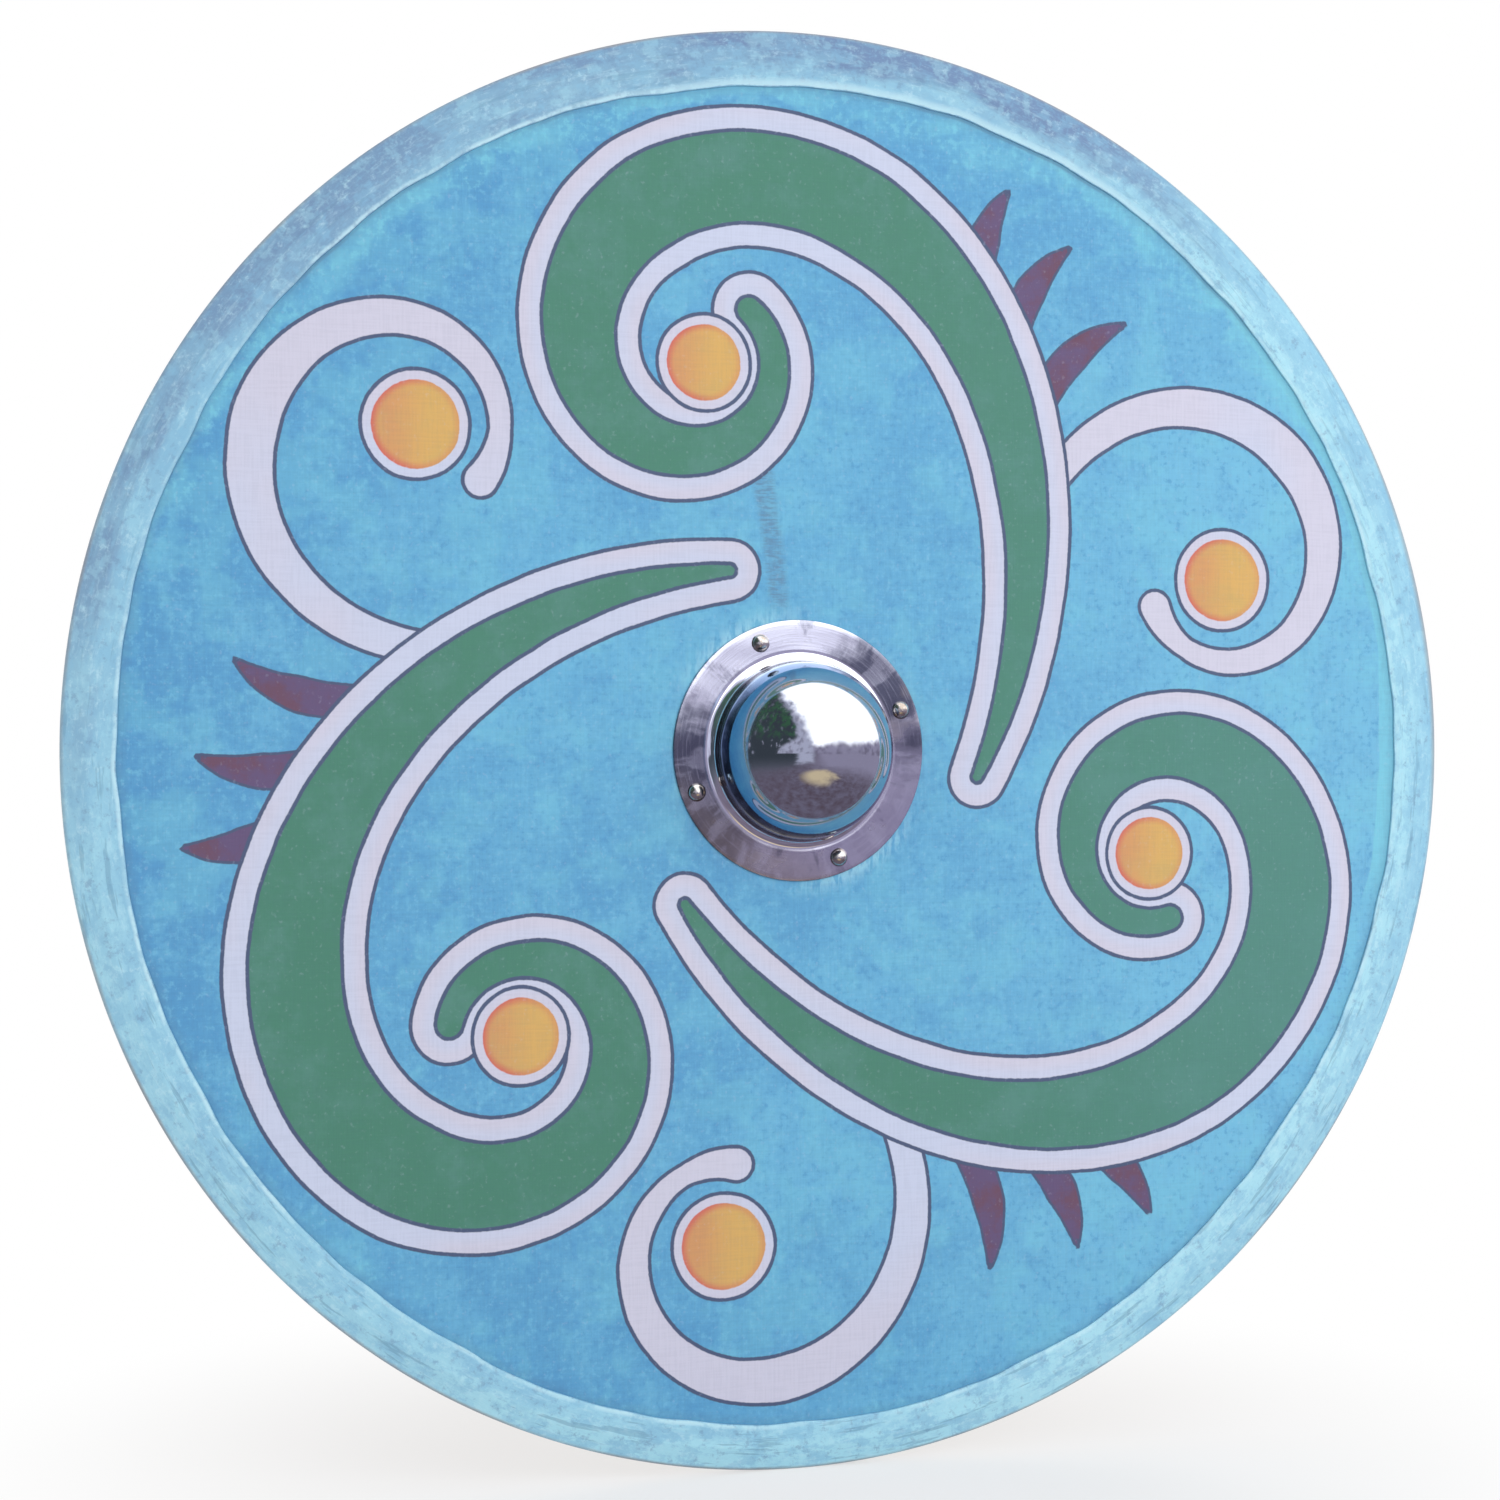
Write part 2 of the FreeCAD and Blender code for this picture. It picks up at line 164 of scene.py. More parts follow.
class Graph:
    """The nodes of a material or of the world, with a short call for each kind that is used."""

    def __init__(self, tree):
        self.tree = tree

    def add(self, kind, inputs, out=0, **settings):
        """Adds a node; an input is a socket to link or a constant."""
        node = self.tree.nodes.new(kind)
        for key, value in settings.items():
            setattr(node, key, value)
        for key, value in inputs.items():
            self.feed(node.inputs[key], value)
        return node.outputs[out]

    def feed(self, socket, value):
        if isinstance(value, bpy.types.NodeSocket):
            self.tree.links.new(value, socket)
        elif isinstance(value, tuple) and len(socket.default_value) == 4:
            socket.default_value = (*value, 1.0)
        else:
            socket.default_value = value

    def place(self):
        return self.add("ShaderNodeTexCoord", {}, out="Object")

    def split(self, vector):
        node = self.tree.nodes.new("ShaderNodeSeparateXYZ")
        self.feed(node.inputs[0], vector)
        return node.outputs

    def join(self, x, y, z):
        return self.add("ShaderNodeCombineXYZ", {0: x, 1: y, 2: z})

    def math(self, operation, a, b=0.0):
        return self.add("ShaderNodeMath", {0: a, 1: b}, operation=operation)

    def vector(self, operation, a, b=(0.0, 0.0, 0.0)):
        return self.add("ShaderNodeVectorMath", {0: a, 1: b}, operation=operation)

    def stretch(self, vector, scale):
        return self.vector("MULTIPLY", vector, scale)

    def length(self, vector):
        return self.vector("LENGTH", vector).node.outputs["Value"]

    def noise(self, vector, scale, detail=3.0, roughness=0.5):
        inputs = {"Vector": vector, "Scale": scale, "Detail": detail, "Roughness": roughness}
        return self.add("ShaderNodeTexNoise", inputs)

    def swing(self, noise, size):
        """A noise as a swing of a size about zero."""
        return self.times(self.plus(noise, -0.5), size)

    def drawn_noise(self, vector, scales, detail=3.0, roughness=0.5):
        """Noise with its own scale along each axis."""
        return self.noise(self.stretch(vector, scales), 1.0, detail, roughness)

    def ramp(self, value, low, high, start=0.0, end=1.0):
        """Smooth step of a value between two levels."""
        inputs = {"Value": value, "From Min": low, "From Max": high, "To Min": start, "To Max": end}
        return self.add("ShaderNodeMapRange", inputs, interpolation_type="SMOOTHSTEP")

    def fall(self, value, low, high):
        """Smooth step from one down to zero."""
        return self.ramp(value, low, high, 1.0, 0.0)

    def mix(self, share, a, b):
        return self.add("ShaderNodeMix", {0: share, 6: a, 7: b}, out=2, data_type="RGBA")

    def layered(self, colour, *layers):
        """A colour under others, each with a value, two levels, the shares there and a colour."""
        for value, low, high, start, end, over in layers:
            colour = self.mix(self.ramp(value, low, high, start, end), colour, over)
        return colour

    def mesh_value(self, name):
        return self.add("ShaderNodeAttribute", {}, out="Fac", attribute_name=name)

    def plus(self, *values):
        total = values[0]
        for value in values[1:]:
            total = self.math("ADD", total, value)
        return total

    def times(self, *values):
        total = values[0]
        for value in values[1:]:
            total = self.math("MULTIPLY", total, value)
        return total

    def bump(self, height, distance, strength=1.0):
        return self.add("ShaderNodeBump", {"Height": height, "Distance": distance, "Strength": strength})

    def background_seen(self):
        """One for the rays that show the background: from the camera, a mirror or through glass."""
        path = self.tree.nodes.new("ShaderNodeLightPath").outputs
        seen = self.math("MAXIMUM", path["Is Camera Ray"], path["Is Glossy Ray"])
        return self.math("MAXIMUM", seen, path["Is Transmission Ray"])


class Shader(Graph):
    """A material whose nodes end in one surface."""

    def __init__(self, name):
        self.material = bpy.data.materials.new(name)
        self.material.use_nodes = True
        super().__init__(self.material.node_tree)
        self.surface = self.tree.nodes["Principled BSDF"]

    def finish(self, colour, roughness, normal, metallic=0.0):
        for key, value in (("Base Color", colour), ("Roughness", roughness), ("Normal", normal)):
            self.feed(self.surface.inputs[key], value)
        self.surface.inputs["Metallic"].default_value = metallic
        return self.material

    def show(self, surface):
        """Ends the material in another surface than its own."""
        self.tree.links.new(surface, self.tree.nodes["Material Output"].inputs["Surface"])


class RoundShader(Shader):
    """A material whose colours follow the circles and directions round the shield's axis."""

    def __init__(self, name):
        super().__init__(name)
        self.position = self.place()
        self.x, self.y, self.z = self.split(self.position)
        flat = self.stretch(self.position, FACE_PLANE)
        self.radius = self.length(flat)
        self.around = self.vector("NORMALIZE", flat)

    def strokes(self, along, across, seed=0.0, detail=5.0, roughness=0.7):
        """Noise drawn out round the axis, by its frequencies along and across the circles."""
        around_x, _, around_z = self.split(self.around)
        outwards = self.plus(self.times(self.radius, across), seed)
        drawn_out = self.join(self.times(around_x, along), outwards, self.times(around_z, along))
        return self.noise(drawn_out, 1.0, detail, roughness)

    def towards(self, angle, low, high, start=0.0, end=1.0):
        """A value that changes with the direction round the axis, from low to high cosines."""
        turn = math.radians(angle)
        facing = self.vector("DOT_PRODUCT", self.around, (math.cos(turn), 0.0, math.sin(turn)))
        return self.ramp(facing.node.outputs["Value"], low, high, start, end)


def make_piece(name, points, faces, material):
    """A smooth closed mesh object that rides on the body."""
    mesh = bpy.data.meshes.new(name)
    mesh.from_pydata([tuple(p) for p in points], [], faces)
    solid = bmesh.new()
    solid.from_mesh(mesh)
    bmesh.ops.recalc_face_normals(solid, faces=solid.faces)
    solid.to_mesh(mesh)
    solid.free()
    mesh.shade_smooth()
    mesh.materials.append(material)
    piece = bpy.data.objects.new(name, mesh)
    bpy.context.scene.collection.objects.link(piece)
    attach(piece, BODY)
    return piece


def add_values(piece, name, values):
    """Stores one number for each point of a piece."""
    attribute = piece.data.attributes.new(name, "FLOAT", "POINT")
    attribute.data.foreach_set("value", np.asarray(values, np.float32))


def paint_node(name, material):
    """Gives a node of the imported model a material."""
    for material_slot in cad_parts[name].material_slots:
        material_slot.material = material


def ring_faces(ring_count, steps, closed, wrap=True):
    """Quads between rings of points; closed joins the last ring to the first one."""
    faces = []
    last = ring_count if closed else ring_count - 1
    for ring in range(last):
        a = ring * steps
        b = (ring + 1) % ring_count * steps
        for i in range(steps if wrap else steps - 1):
            j = (i + 1) % steps
            faces.append((a + i, a + j, b + j, b + i))
    return faces


def round_angles(steps):
    """Angles in even steps round a full circle."""
    return np.arange(steps) * 2 * math.pi / steps


# The painted ornament: three scrolls that wind out from the boss, with curling branches

ARM_COUNT = 3
PATH_POINTS = 240
ORNAMENT_TURN = -8
ARM_START_RADIUS = 112 * MM
ARM_TURNS = [math.radians(ORNAMENT_TURN + k * 360 / ARM_COUNT) for k in range(ARM_COUNT)]
ARM_HEADING = 72
ARM_LENGTH = 815 * MM
ARM_BENDS = (3.2, 24.0)
ARM_BEND_EASE = 2.4
ARM_WIDTHS = ((0, 3), (0.08, 8), (0.22, 15), (0.45, 25), (0.62, 26), (0.8, 17), (0.93, 9), (1, 7))
BRANCH_SHARE = 0.17
BRANCH_LEAN = 8.5
BRANCH_LENGTH = 458 * MM
BRANCH_BENDS = (9.1, 21.0)
BRANCH_WIDTHS = ((0, 6), (0.15, 9), (0.5, 13), (0.8, 8), (0.93, 5.5), (1, 9))

# Leaves: the share of the arm where each starts, its lean in degrees and its length
LEAVES = ((0.24, 30, 112 * MM), (0.285, 26, 104 * MM), (0.33, 22, 96 * MM))
LEAF_BENDS = (4, 14)
LEAF_BEND_EASE = 1.2
LEAF_WIDTHS = ((0, 4), (0.4, 9), (0.65, 9), (0.85, 5), (1, 0.5))

EYE_RADIUS = 22 * MM
BRANCH_EYE_RADIUS = 25 * MM
EYE_RING = 7 * MM
BORDER_WIDTH = 14 * MM
LINE_WIDTH = 2.2 * MM
FAR = 1.0


def scroll(start, heading, length, bends, ease):
    """Points and headings of a curve whose bend, in radians per metre, grows along it."""
    share = np.linspace(0, 1, PATH_POINTS)
    bend = bends[0] + (bends[1] - bends[0]) * share ** ease
    step = length / (PATH_POINTS - 1)
    turn = math.radians(heading) + np.append(0, np.cumsum((bend[1:] + bend[:-1]) / 2 * step))
    middle = (turn[1:] + turn[:-1]) / 2
    x = start[0] + np.append(0, np.cumsum(np.cos(middle) * step))
    z = start[1] + np.append(0, np.cumsum(np.sin(middle) * step))
    return np.stack([x, z], 1), turn


def branch(arm, share, lean, length, bends, ease):
    """A curve that leaves an arm at a share of its length and bends to its right."""
    points, turn = arm
    index = int(share * (PATH_POINTS - 1))
    heading = math.degrees(turn[index]) - lean
    return scroll(points[index], heading, length, (-bends[0], -bends[1]), ease)


def curl_centre(curve, bend):
    """Centre of the circle that a curve ends on."""
    points, turn = curve
    return points[-1] + np.array([-math.sin(turn[-1]), math.cos(turn[-1])]) / bend


def half_widths(knots):
    """Half width along a stroke, from pairs of a share of its length and millimetres."""
    return np.interp(np.linspace(0, 1, PATH_POINTS), *zip(*knots)) * MM


def turned_copies(points):
    """The points as each arm sees them, so that one arm's strokes serve for all."""
    for turn in ARM_TURNS:
        c, s = math.cos(turn), math.sin(turn)
        yield points @ np.array([[c, -s], [s, c]])


def stroke_distance(points, curves):
    """Distance of each point outside the nearest of some strokes, negative inside them."""
    nearest = np.full(len(points), FAR)
    for seen in turned_copies(points):
        for (path, _), halves in curves:
            for centre, half in zip(path, halves):
                distance = np.hypot(seen[:, 0] - centre[0], seen[:, 1] - centre[1]) - half
                np.minimum(nearest, distance, out=nearest)
    return nearest


def disc_distance(points, discs):
    """Distance of each point outside the nearest disc, and how far it lies right of its middle."""
    nearest = np.full(len(points), FAR)
    side = np.zeros(len(points))
    for turn in ARM_TURNS:
        c, s = math.cos(turn), math.sin(turn)
        for (x, z), radius in discs:
            across = points[:, 0] - (x * c - z * s)
            distance = np.hypot(across, points[:, 1] - (x * s + z * c)) - radius
            closer = distance < nearest
            nearest[closer] = distance[closer]
            side[closer] = across[closer]
    return nearest, side


def ornament(points):
    """Distances to each painted colour of the ornament, for points of the face as (x, z)."""
    arm = scroll((ARM_START_RADIUS, 0.0), ARM_HEADING, ARM_LENGTH, ARM_BENDS, ARM_BEND_EASE)
    curl = branch(arm, BRANCH_SHARE, BRANCH_LEAN, BRANCH_LENGTH, BRANCH_BENDS, ARM_BEND_EASE)
    leaves = [
        (branch(arm, share, lean, length, LEAF_BENDS, LEAF_BEND_EASE), half_widths(LEAF_WIDTHS))
        for share, lean, length in LEAVES
    ]
    eyes = [
        (curl_centre(arm, ARM_BENDS[1]), EYE_RADIUS),
        (curl_centre(curl, -BRANCH_BENDS[1]), BRANCH_EYE_RADIUS),
    ]
    gold_distance, gold_side = disc_distance(points, eyes)
    return {
        "green_distance": stroke_distance(points, [(arm, half_widths(ARM_WIDTHS))]),
        "white_distance": stroke_distance(points, [(curl, half_widths(BRANCH_WIDTHS))]),
        "plum_distance": stroke_distance(points, leaves),
        "gold_distance": gold_distance,
        "gold_side": gold_side,
    }


# Linen facing

FACING_STEPS_ROUND = 800
FACING_RING_STEP = 3.3 * MM
FACING_UNDER_FLANGE = 4 * MM
FACING_BEVEL_RINGS = 5

# Waves of the band's inner edge: how many go round, their size in millimetres and their start
BAND_EDGE_WAVES = (
    (1, 2.0, -2.5),
    (3, 0.9, 0.4),
    (5, 0.65, 2.1),
    (8, 0.48, 4.0),
    (13, 0.36, 1.2),
    (21, 0.30, 5.1),
    (34, 0.26, 0.7),
    (47, 0.22, 3.6),
    (71, 0.20, 2.9),
)


def band_edge_radius(angles):
    """Radius of the edging's hand-cut inner edge at some angles."""
    wave = sum(size * np.sin(count * angles + start) for count, size, start in BAND_EDGE_WAVES)
    return rim_radius - EDGING_FRONT_WIDTH + wave * MM


def facing_front(radius):
    """Level of the linen's front at a radius."""
    slope = BEVEL_DROP / BEVEL_WIDTH
    lift = LINEN_THICKNESS * math.hypot(1, slope)
    on_bevel = board_front + BEVEL_DROP - (board_radius - radius) * slope - lift
    return np.maximum(on_bevel, linen_front)


def make_facing(material):
    """Linen over the whole face, with the ornament's distances stored at its points."""
    flat = np.arange(flange_radius - FACING_UNDER_FLANGE, bevel_start, FACING_RING_STEP)
    front_radii = np.concatenate([
        [HAND_HOLE_RADIUS, (HAND_HOLE_RADIUS + flat[0]) / 2],
        flat,
        np.linspace(bevel_start + MM, board_radius, FACING_BEVEL_RINGS),
    ])
    back_radii = np.array([board_radius, bevel_start, HAND_HOLE_RADIUS])
    back_levels = facing_front(back_radii) + LINEN_THICKNESS
    back_levels[0] = board_front + BEVEL_DROP
    radii = np.concatenate([front_radii, back_radii])
    levels = np.concatenate([facing_front(front_radii), back_levels])
    angles = round_angles(FACING_STEPS_ROUND)
    x = np.outer(radii, np.cos(angles))
    z = np.outer(radii, np.sin(angles))
    y = np.repeat(levels[:, None], FACING_STEPS_ROUND, 1)
    points = np.stack([x.ravel(), y.ravel(), z.ravel()], 1)
    faces = ring_faces(len(radii), FACING_STEPS_ROUND, closed=True)
    piece = make_piece("painted_facing", points, faces, material)
    for name, values in ornament(points[:, [0, 2]]).items():
        add_values(piece, name, values)
    edge = band_edge_radius(np.arctan2(points[:, 2], points[:, 0]))
    add_values(piece, "band_distance", edge - np.hypot(points[:, 0], points[:, 2]))
    return piece


def face_values(s):
    """Places, distances and noises that the colours of the facing are made of."""
    place = s.place()
    x, _, z = s.split(place)
    slubs_across = s.drawn_noise(place, (45.0, 1.0, 760.0), detail=2.0)
    slubs_down = s.drawn_noise(place, (760.0, 1.0, 45.0), detail=2.0)
    return SimpleNamespace(
        place=place,
        x=x,
        z=z,
        band_distance=s.mesh_value("band_distance"),
        clouds=s.noise(place, 4.5, detail=3.0),
        mottle=s.noise(place, 34.0, detail=6.0, roughness=0.7),
        freckle=s.noise(place, 230.0, detail=4.0, roughness=0.65),
        brush=s.drawn_noise(place, (52.0, 1.0, 24.0), detail=4.0, roughness=0.6),
        grain=s.noise(place, 420.0, detail=2.0),
        weave=s.plus(slubs_across, slubs_down),
    )


def facing_ground(s, face):
    """The mottled blue ground, deeper at the left and the top and lighter at the right."""
    tint = s.noise(face.place, 26.0, detail=4.0, roughness=0.65)
    return s.layered(
        GROUND_BLUE,
        (face.clouds, 0.38, 0.66, 0.0, 0.60, GROUND_DEEP),
        (face.x, -0.42, -0.10, 0.90, 0.0, GROUND_DEEP),
        (face.x, 0.00, 0.36, 0.0, 0.70, GROUND_LIGHT),
        (face.z, 0.14, 0.36, 0.0, 0.50, GROUND_DEEP),
        (face.mottle, 0.46, 0.70, 0.0, 0.55, GROUND_LIGHT),
        (face.mottle, 0.50, 0.30, 0.0, 0.50, GROUND_DEEP),
        (face.freckle, 0.52, 0.68, 0.0, 0.50, GROUND_LIGHT),
        (face.freckle, 0.48, 0.32, 0.0, 0.60, GROUND_DEEP),
        (face.brush, 0.50, 0.70, 0.0, 0.20, GROUND_LIGHT),
        (tint, 0.48, 0.60, 0.0, 0.28, GROUND_TURQUOISE),
    )


def ground_by_band(s, face, ground):
    """Turquoise smears along the band, and a strip of turquoise beside it at the right."""
    blotch = s.noise(s.stretch(face.place, (1.0, 1.0, 1.4)), 15.0, detail=5.0, roughness=0.62)
    lower_down = s.ramp(face.z, -0.1, 0.3, 12 * MM, -10 * MM)
    reach = s.plus(face.band_distance, s.times(blotch, 90 * MM), lower_down)
    near_band = s.fall(reach, 46 * MM, 54 * MM)
    freckled = s.ramp(face.freckle, 0.50, 0.62, -0.10, 0.15)
    smears = s.plus(s.ramp(blotch, 0.44, 0.52, 0.25, 0.60), freckled)
    ground = s.mix(s.times(near_band, smears), ground, GROUND_TURQUOISE)

    right_side = s.times(s.ramp(face.x, 0.22, 0.30), s.ramp(face.z, -0.11, -0.07))
    strip_width = s.ramp(face.z, 0.02, 0.07, 10 * MM, 4.5 * MM)
    strip_width = s.plus(strip_width, s.swing(face.brush, 4 * MM))
    past_strip = s.math("SUBTRACT", face.band_distance, strip_width)
    strip = s.fall(past_strip, -0.4 * MM, 0.8 * MM)
    return s.mix(s.times(strip, right_side, 0.7), ground, GROUND_TURQUOISE)


def ground_by_boss(s, face, ground):
    """Pale dabs of the brush on two sides of the boss, and a grey scuff above it."""
    radius = s.length(s.stretch(face.place, FACE_PLANE))
    dabs = s.drawn_noise(face.place, (210.0, 1.0, 60.0), detail=4.0, roughness=0.6)
    near_boss = s.fall(s.plus(radius, s.times(dabs, 30 * MM)), 90 * MM, 104 * MM)
    off_axis = s.math("ABSOLUTE", s.plus(s.times(face.x, -0.50), s.times(face.z, 0.86)))
    dabbed_side = s.ramp(off_axis, 62 * MM, 80 * MM, 0.12, 0.85)
    ground = s.mix(s.times(near_boss, dabbed_side, s.ramp(dabs, 0.42, 0.58)), ground, BAND_LIGHT)

    leaning = s.plus(face.x, s.times(face.z, 0.133), s.swing(face.brush, 6 * MM), 0.5 * MM)
    rubbed = s.drawn_noise(face.place, (140.0, 1.0, 700.0))
    scuff = s.times(
        s.fall(s.math("ABSOLUTE", leaning), 3 * MM, 8.5 * MM),
        s.ramp(face.z, 78 * MM, 90 * MM),
        s.fall(face.z, 178 * MM, 196 * MM),
        s.ramp(rubbed, 0.40, 0.62, 0.25, 0.80),
    )
    return s.mix(scuff, ground, GROUND_GREY)


def ornament_colours(s, face):
    """The ornament's white, green, plum and gold, none of them quite even."""
    outer_half = s.ramp(s.mesh_value("green_distance"), 4 * MM, 12 * MM, 0.25, 1.0)
    white = s.mix(s.times(outer_half, s.ramp(face.clouds, 0.38, 0.52)), BORDER_WHITE, BORDER_LILAC)
    green = s.mix(s.ramp(face.mottle, 0.42, 0.70), LEAF_GREEN, LEAF_GREEN_PALE)
    green = s.mix(s.ramp(face.x, 0.02, 0.34, 0.0, 0.6), green, LEAF_TEAL)
    plum = s.mix(s.ramp(face.mottle, 0.45, 0.65), PLUM, PLUM_RED)
    side = s.mesh_value("gold_side")
    rim = s.plus(s.mesh_value("gold_distance"), s.swing(face.brush, 3 * MM))
    gold = s.mix(s.ramp(side, -18 * MM, 10 * MM), GOLD_ORANGE, GOLD)
    gold = s.mix(s.ramp(face.mottle, 0.40, 0.70, 0.0, 0.35), gold, GOLD_PALE)
    edge_share = s.times(s.ramp(rim, -5 * MM, 0.5 * MM), s.ramp(side, -12 * MM, 16 * MM, 1.0, 0.35))
    gold = s.mix(edge_share, gold, GOLD_EDGE)
    return white, green, plum, gold


def ornament_over(s, face, colour):
    """The ornament painted over a colour, each layer where a stored distance is less than a reach."""
    white, green, plum, gold = ornament_colours(s, face)
    hand = s.swing(s.noise(face.place, 42.0, detail=1.0), 1.4 * MM)
    wobble = s.plus(hand, s.swing(face.grain, 0.6 * MM))
    layers = (
        ("plum_distance", LINE_WIDTH * 0.7, LINE_SLATE),
        ("plum_distance", 0.0, plum),
        ("white_distance", LINE_WIDTH, LINE_SLATE),
        ("white_distance", 0.0, white),
        ("green_distance", BORDER_WIDTH + LINE_WIDTH, LINE_SLATE),
        ("green_distance", BORDER_WIDTH, white),
        ("green_distance", LINE_WIDTH, LINE_SLATE),
        ("green_distance", 0.0, green),
        ("gold_distance", EYE_RING, LINE_SLATE),
        ("gold_distance", EYE_RING - LINE_WIDTH, white),
        ("gold_distance", 0.0, gold),
    )
    for name, reach, paint in layers:
        distance = s.plus(s.mesh_value(name), wobble)
        colour = s.layered(colour, (distance, reach - 0.3 * MM, reach + 0.4 * MM, 1.0, 0.0, paint))
    return colour


def shade_by_band(s, face):
    """Share of the painted soft shade and the broken painted shadow line along the edging, the line
    strongest at the top.
    """
    ragged = s.plus(face.band_distance, s.swing(face.freckle, 5 * MM))
    soft_shade = s.ramp(ragged, 0.4 * MM, 7 * MM, 0.26, 0.0)
    gathered = s.ramp(s.noise(face.place, 7.0), 0.46, 0.56, 0.1, 1.0)
    line_start = s.ramp(face.z, 0.15, 0.30, 0.0, 1.2 * MM)
    line_end = s.ramp(face.z, 0.15, 0.30, 1.6 * MM, 2.6 * MM)
    line = s.ramp(face.band_distance, line_start, line_end, 0.45, 0.0)
    return s.plus(soft_shade, s.times(line, gathered, s.ramp(face.z, 0.0, 0.2, 0.3, 1.0)))


def facing_material():
    """Painted linen: the ornament on a softly mottled ground, with a weave, some wear and painted shade
    along the edging.
    """
    s = Shader("painted_linen")
    face = face_values(s)
    ground = ground_by_band(s, face, facing_ground(s, face))
    ground = ground_by_boss(s, face, ground)
    colour = s.layered(
        ornament_over(s, face, ground),
        (face.weave, 0.75, 1.15, 0.07, 0.0, LINE_SLATE),
        (face.grain, 0.60, 0.78, 0.0, 0.12, BORDER_WHITE),
    )
    # Painted shade and shadow line where the linen meets the raised edging.
    colour = s.mix(shade_by_band(s, face), colour, BAND_DARK)
    roughness = s.ramp(face.mottle, 0.3, 0.7, 0.52, 0.68)
    relief = s.plus(s.times(face.weave, 0.5), s.times(face.mottle, 0.5))
    return s.finish(colour, roughness, s.bump(relief, 0.3 * MM, 0.6))


# Edging

EDGING_STEPS_ROUND = 420
EDGING_END_CREASE = 0.1 * MM
EDGING_RIDGE_GAP = 0.1 * MM
EDGING_CUT_LEAN = 0.2 * MM
EDGING_CUT_SHARE = 0.75
EDGING_SWELL_WIDTH = 3 * MM
EDGING_RIDGE_BEFORE = 5 * MM
EDGING_RIDGE_AFTER = 1.5 * MM
EDGING_BACK_LEAN = 0.5 * MM
EDGING_BENDS = (0.4 * MM, 1.2 * MM, 4 * MM, 4 * MM, 2.2 * MM, 1.6 * MM, 0.5 * MM)
EDGING_MEAN_LIFT = 0.25 * MM
BEND_STEPS = 5


def rounded(path, radii):
    """Points of a path in (radius, level) whose inner corners are rounded by their own radii."""
    points = [np.array(path[0])]
    for before, corner, after, radius in zip(path, path[1:], path[2:], radii):
        corner = np.array(corner)
        back = (np.array(before) - corner) / np.linalg.norm(np.array(before) - corner)
        on = (np.array(after) - corner) / np.linalg.norm(np.array(after) - corner)
        half = math.acos(np.clip(back @ on, -1, 1)) / 2
        reach = radius / math.tan(half)
        for t in np.linspace(0, 1, BEND_STEPS):
            points.append(corner + back * reach * (1 - t) ** 2 + on * reach * t ** 2)
    points.append(np.array(path[-1]))
    return np.array(points)


def edging_section(inner_radius, lift):
    """Closed section of the edging where its inner edge is at a radius, as rings of (radius, level)."""
    slope = BEVEL_DROP / BEVEL_WIDTH
    ridge = bevel_start + EDGING_RIDGE_GAP
    linen_rim = float(facing_front(board_radius))
    back_slope = BACK_TAPER_DROP / BACK_TAPER_WIDTH
    back_rim = board_back - BACK_TAPER_DROP
    back_end = rim_radius - EDGING_BACK_WIDTH
    back_end_level = back_rim + (board_radius - back_end) * back_slope
    thick = EDGING_THICKNESS
    front = linen_front - thick
    outer = [
        (inner_radius, linen_front),
        (inner_radius + EDGING_CUT_LEAN, linen_front - thick * EDGING_CUT_SHARE),
        (inner_radius + EDGING_SWELL_WIDTH, front - lift * 0.3),
        (ridge - EDGING_RIDGE_BEFORE, front - lift),
        (ridge + EDGING_RIDGE_AFTER, front - lift * 0.5),
        (rim_radius, linen_rim - thick + (rim_radius - board_radius) * slope),
        (rim_radius, back_rim + thick),
        (back_end + EDGING_BACK_LEAN, back_end_level + thick),
        (back_end, back_end_level),
    ]
    inner = [(board_radius, back_rim), (board_radius, linen_rim), (ridge, linen_front)]
    return np.concatenate([rounded(outer, EDGING_BENDS), np.array(inner)])


def make_edging(name, start, end, material, node):
    """One length of edging between two angles in degrees, with a hand-cut inner edge."""
    crease = math.degrees(EDGING_END_CREASE / rim_radius)
    angles = np.radians(np.concatenate([
        [start],
        np.linspace(start + crease, end - crease, EDGING_STEPS_ROUND),
        [end],
    ]))
    inner_edge = band_edge_radius(angles)
    lifts = EDGING_MEAN_LIFT * (1 + np.sin(angles * 11 + 1.3) * np.sin(angles * 4))
    sections = [edging_section(r, lift) for r, lift in zip(inner_edge, lifts)]
    count = len(sections[0])
    points = []
    edge_distances = []
    for k in range(count):
        for section, angle, edge in zip(sections, angles, inner_edge):
            radius, level = section[k]
            points.append((radius * math.cos(angle), level, radius * math.sin(angle)))
            edge_distances.append(radius - edge)
    steps = len(angles)
    faces = ring_faces(count, steps, closed=True, wrap=False)
    faces.append(tuple(k * steps for k in range(count)))
    faces.append(tuple(k * steps + steps - 1 for k in reversed(range(count))))
    piece = make_piece(name, points, faces, material)
    add_values(piece, "edge_distance", edge_distances)
    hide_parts(node)


def band_values(s):
    """Distance and noises that the colours of the band are made of."""
    return SimpleNamespace(
        edge_distance=s.mesh_value("edge_distance"),
        drifts=s.strokes(3.0, 14.0, 0.0, 2.0, 0.5),
        patches=s.strokes(7.0, 48.0, 10.0, 4.0, 0.6),
        daubs=s.strokes(22.0, 95.0, 20.0),
        bristles=s.strokes(34.0, 360.0, 30.0),
        dashes=s.strokes(8.0, 230.0, 40.0, 4.0, 0.6),
        grain=s.noise(s.position, 150.0, detail=6.0, roughness=0.75),
        blots=s.noise(s.position, 62.0, detail=4.0, roughness=0.7),
    )


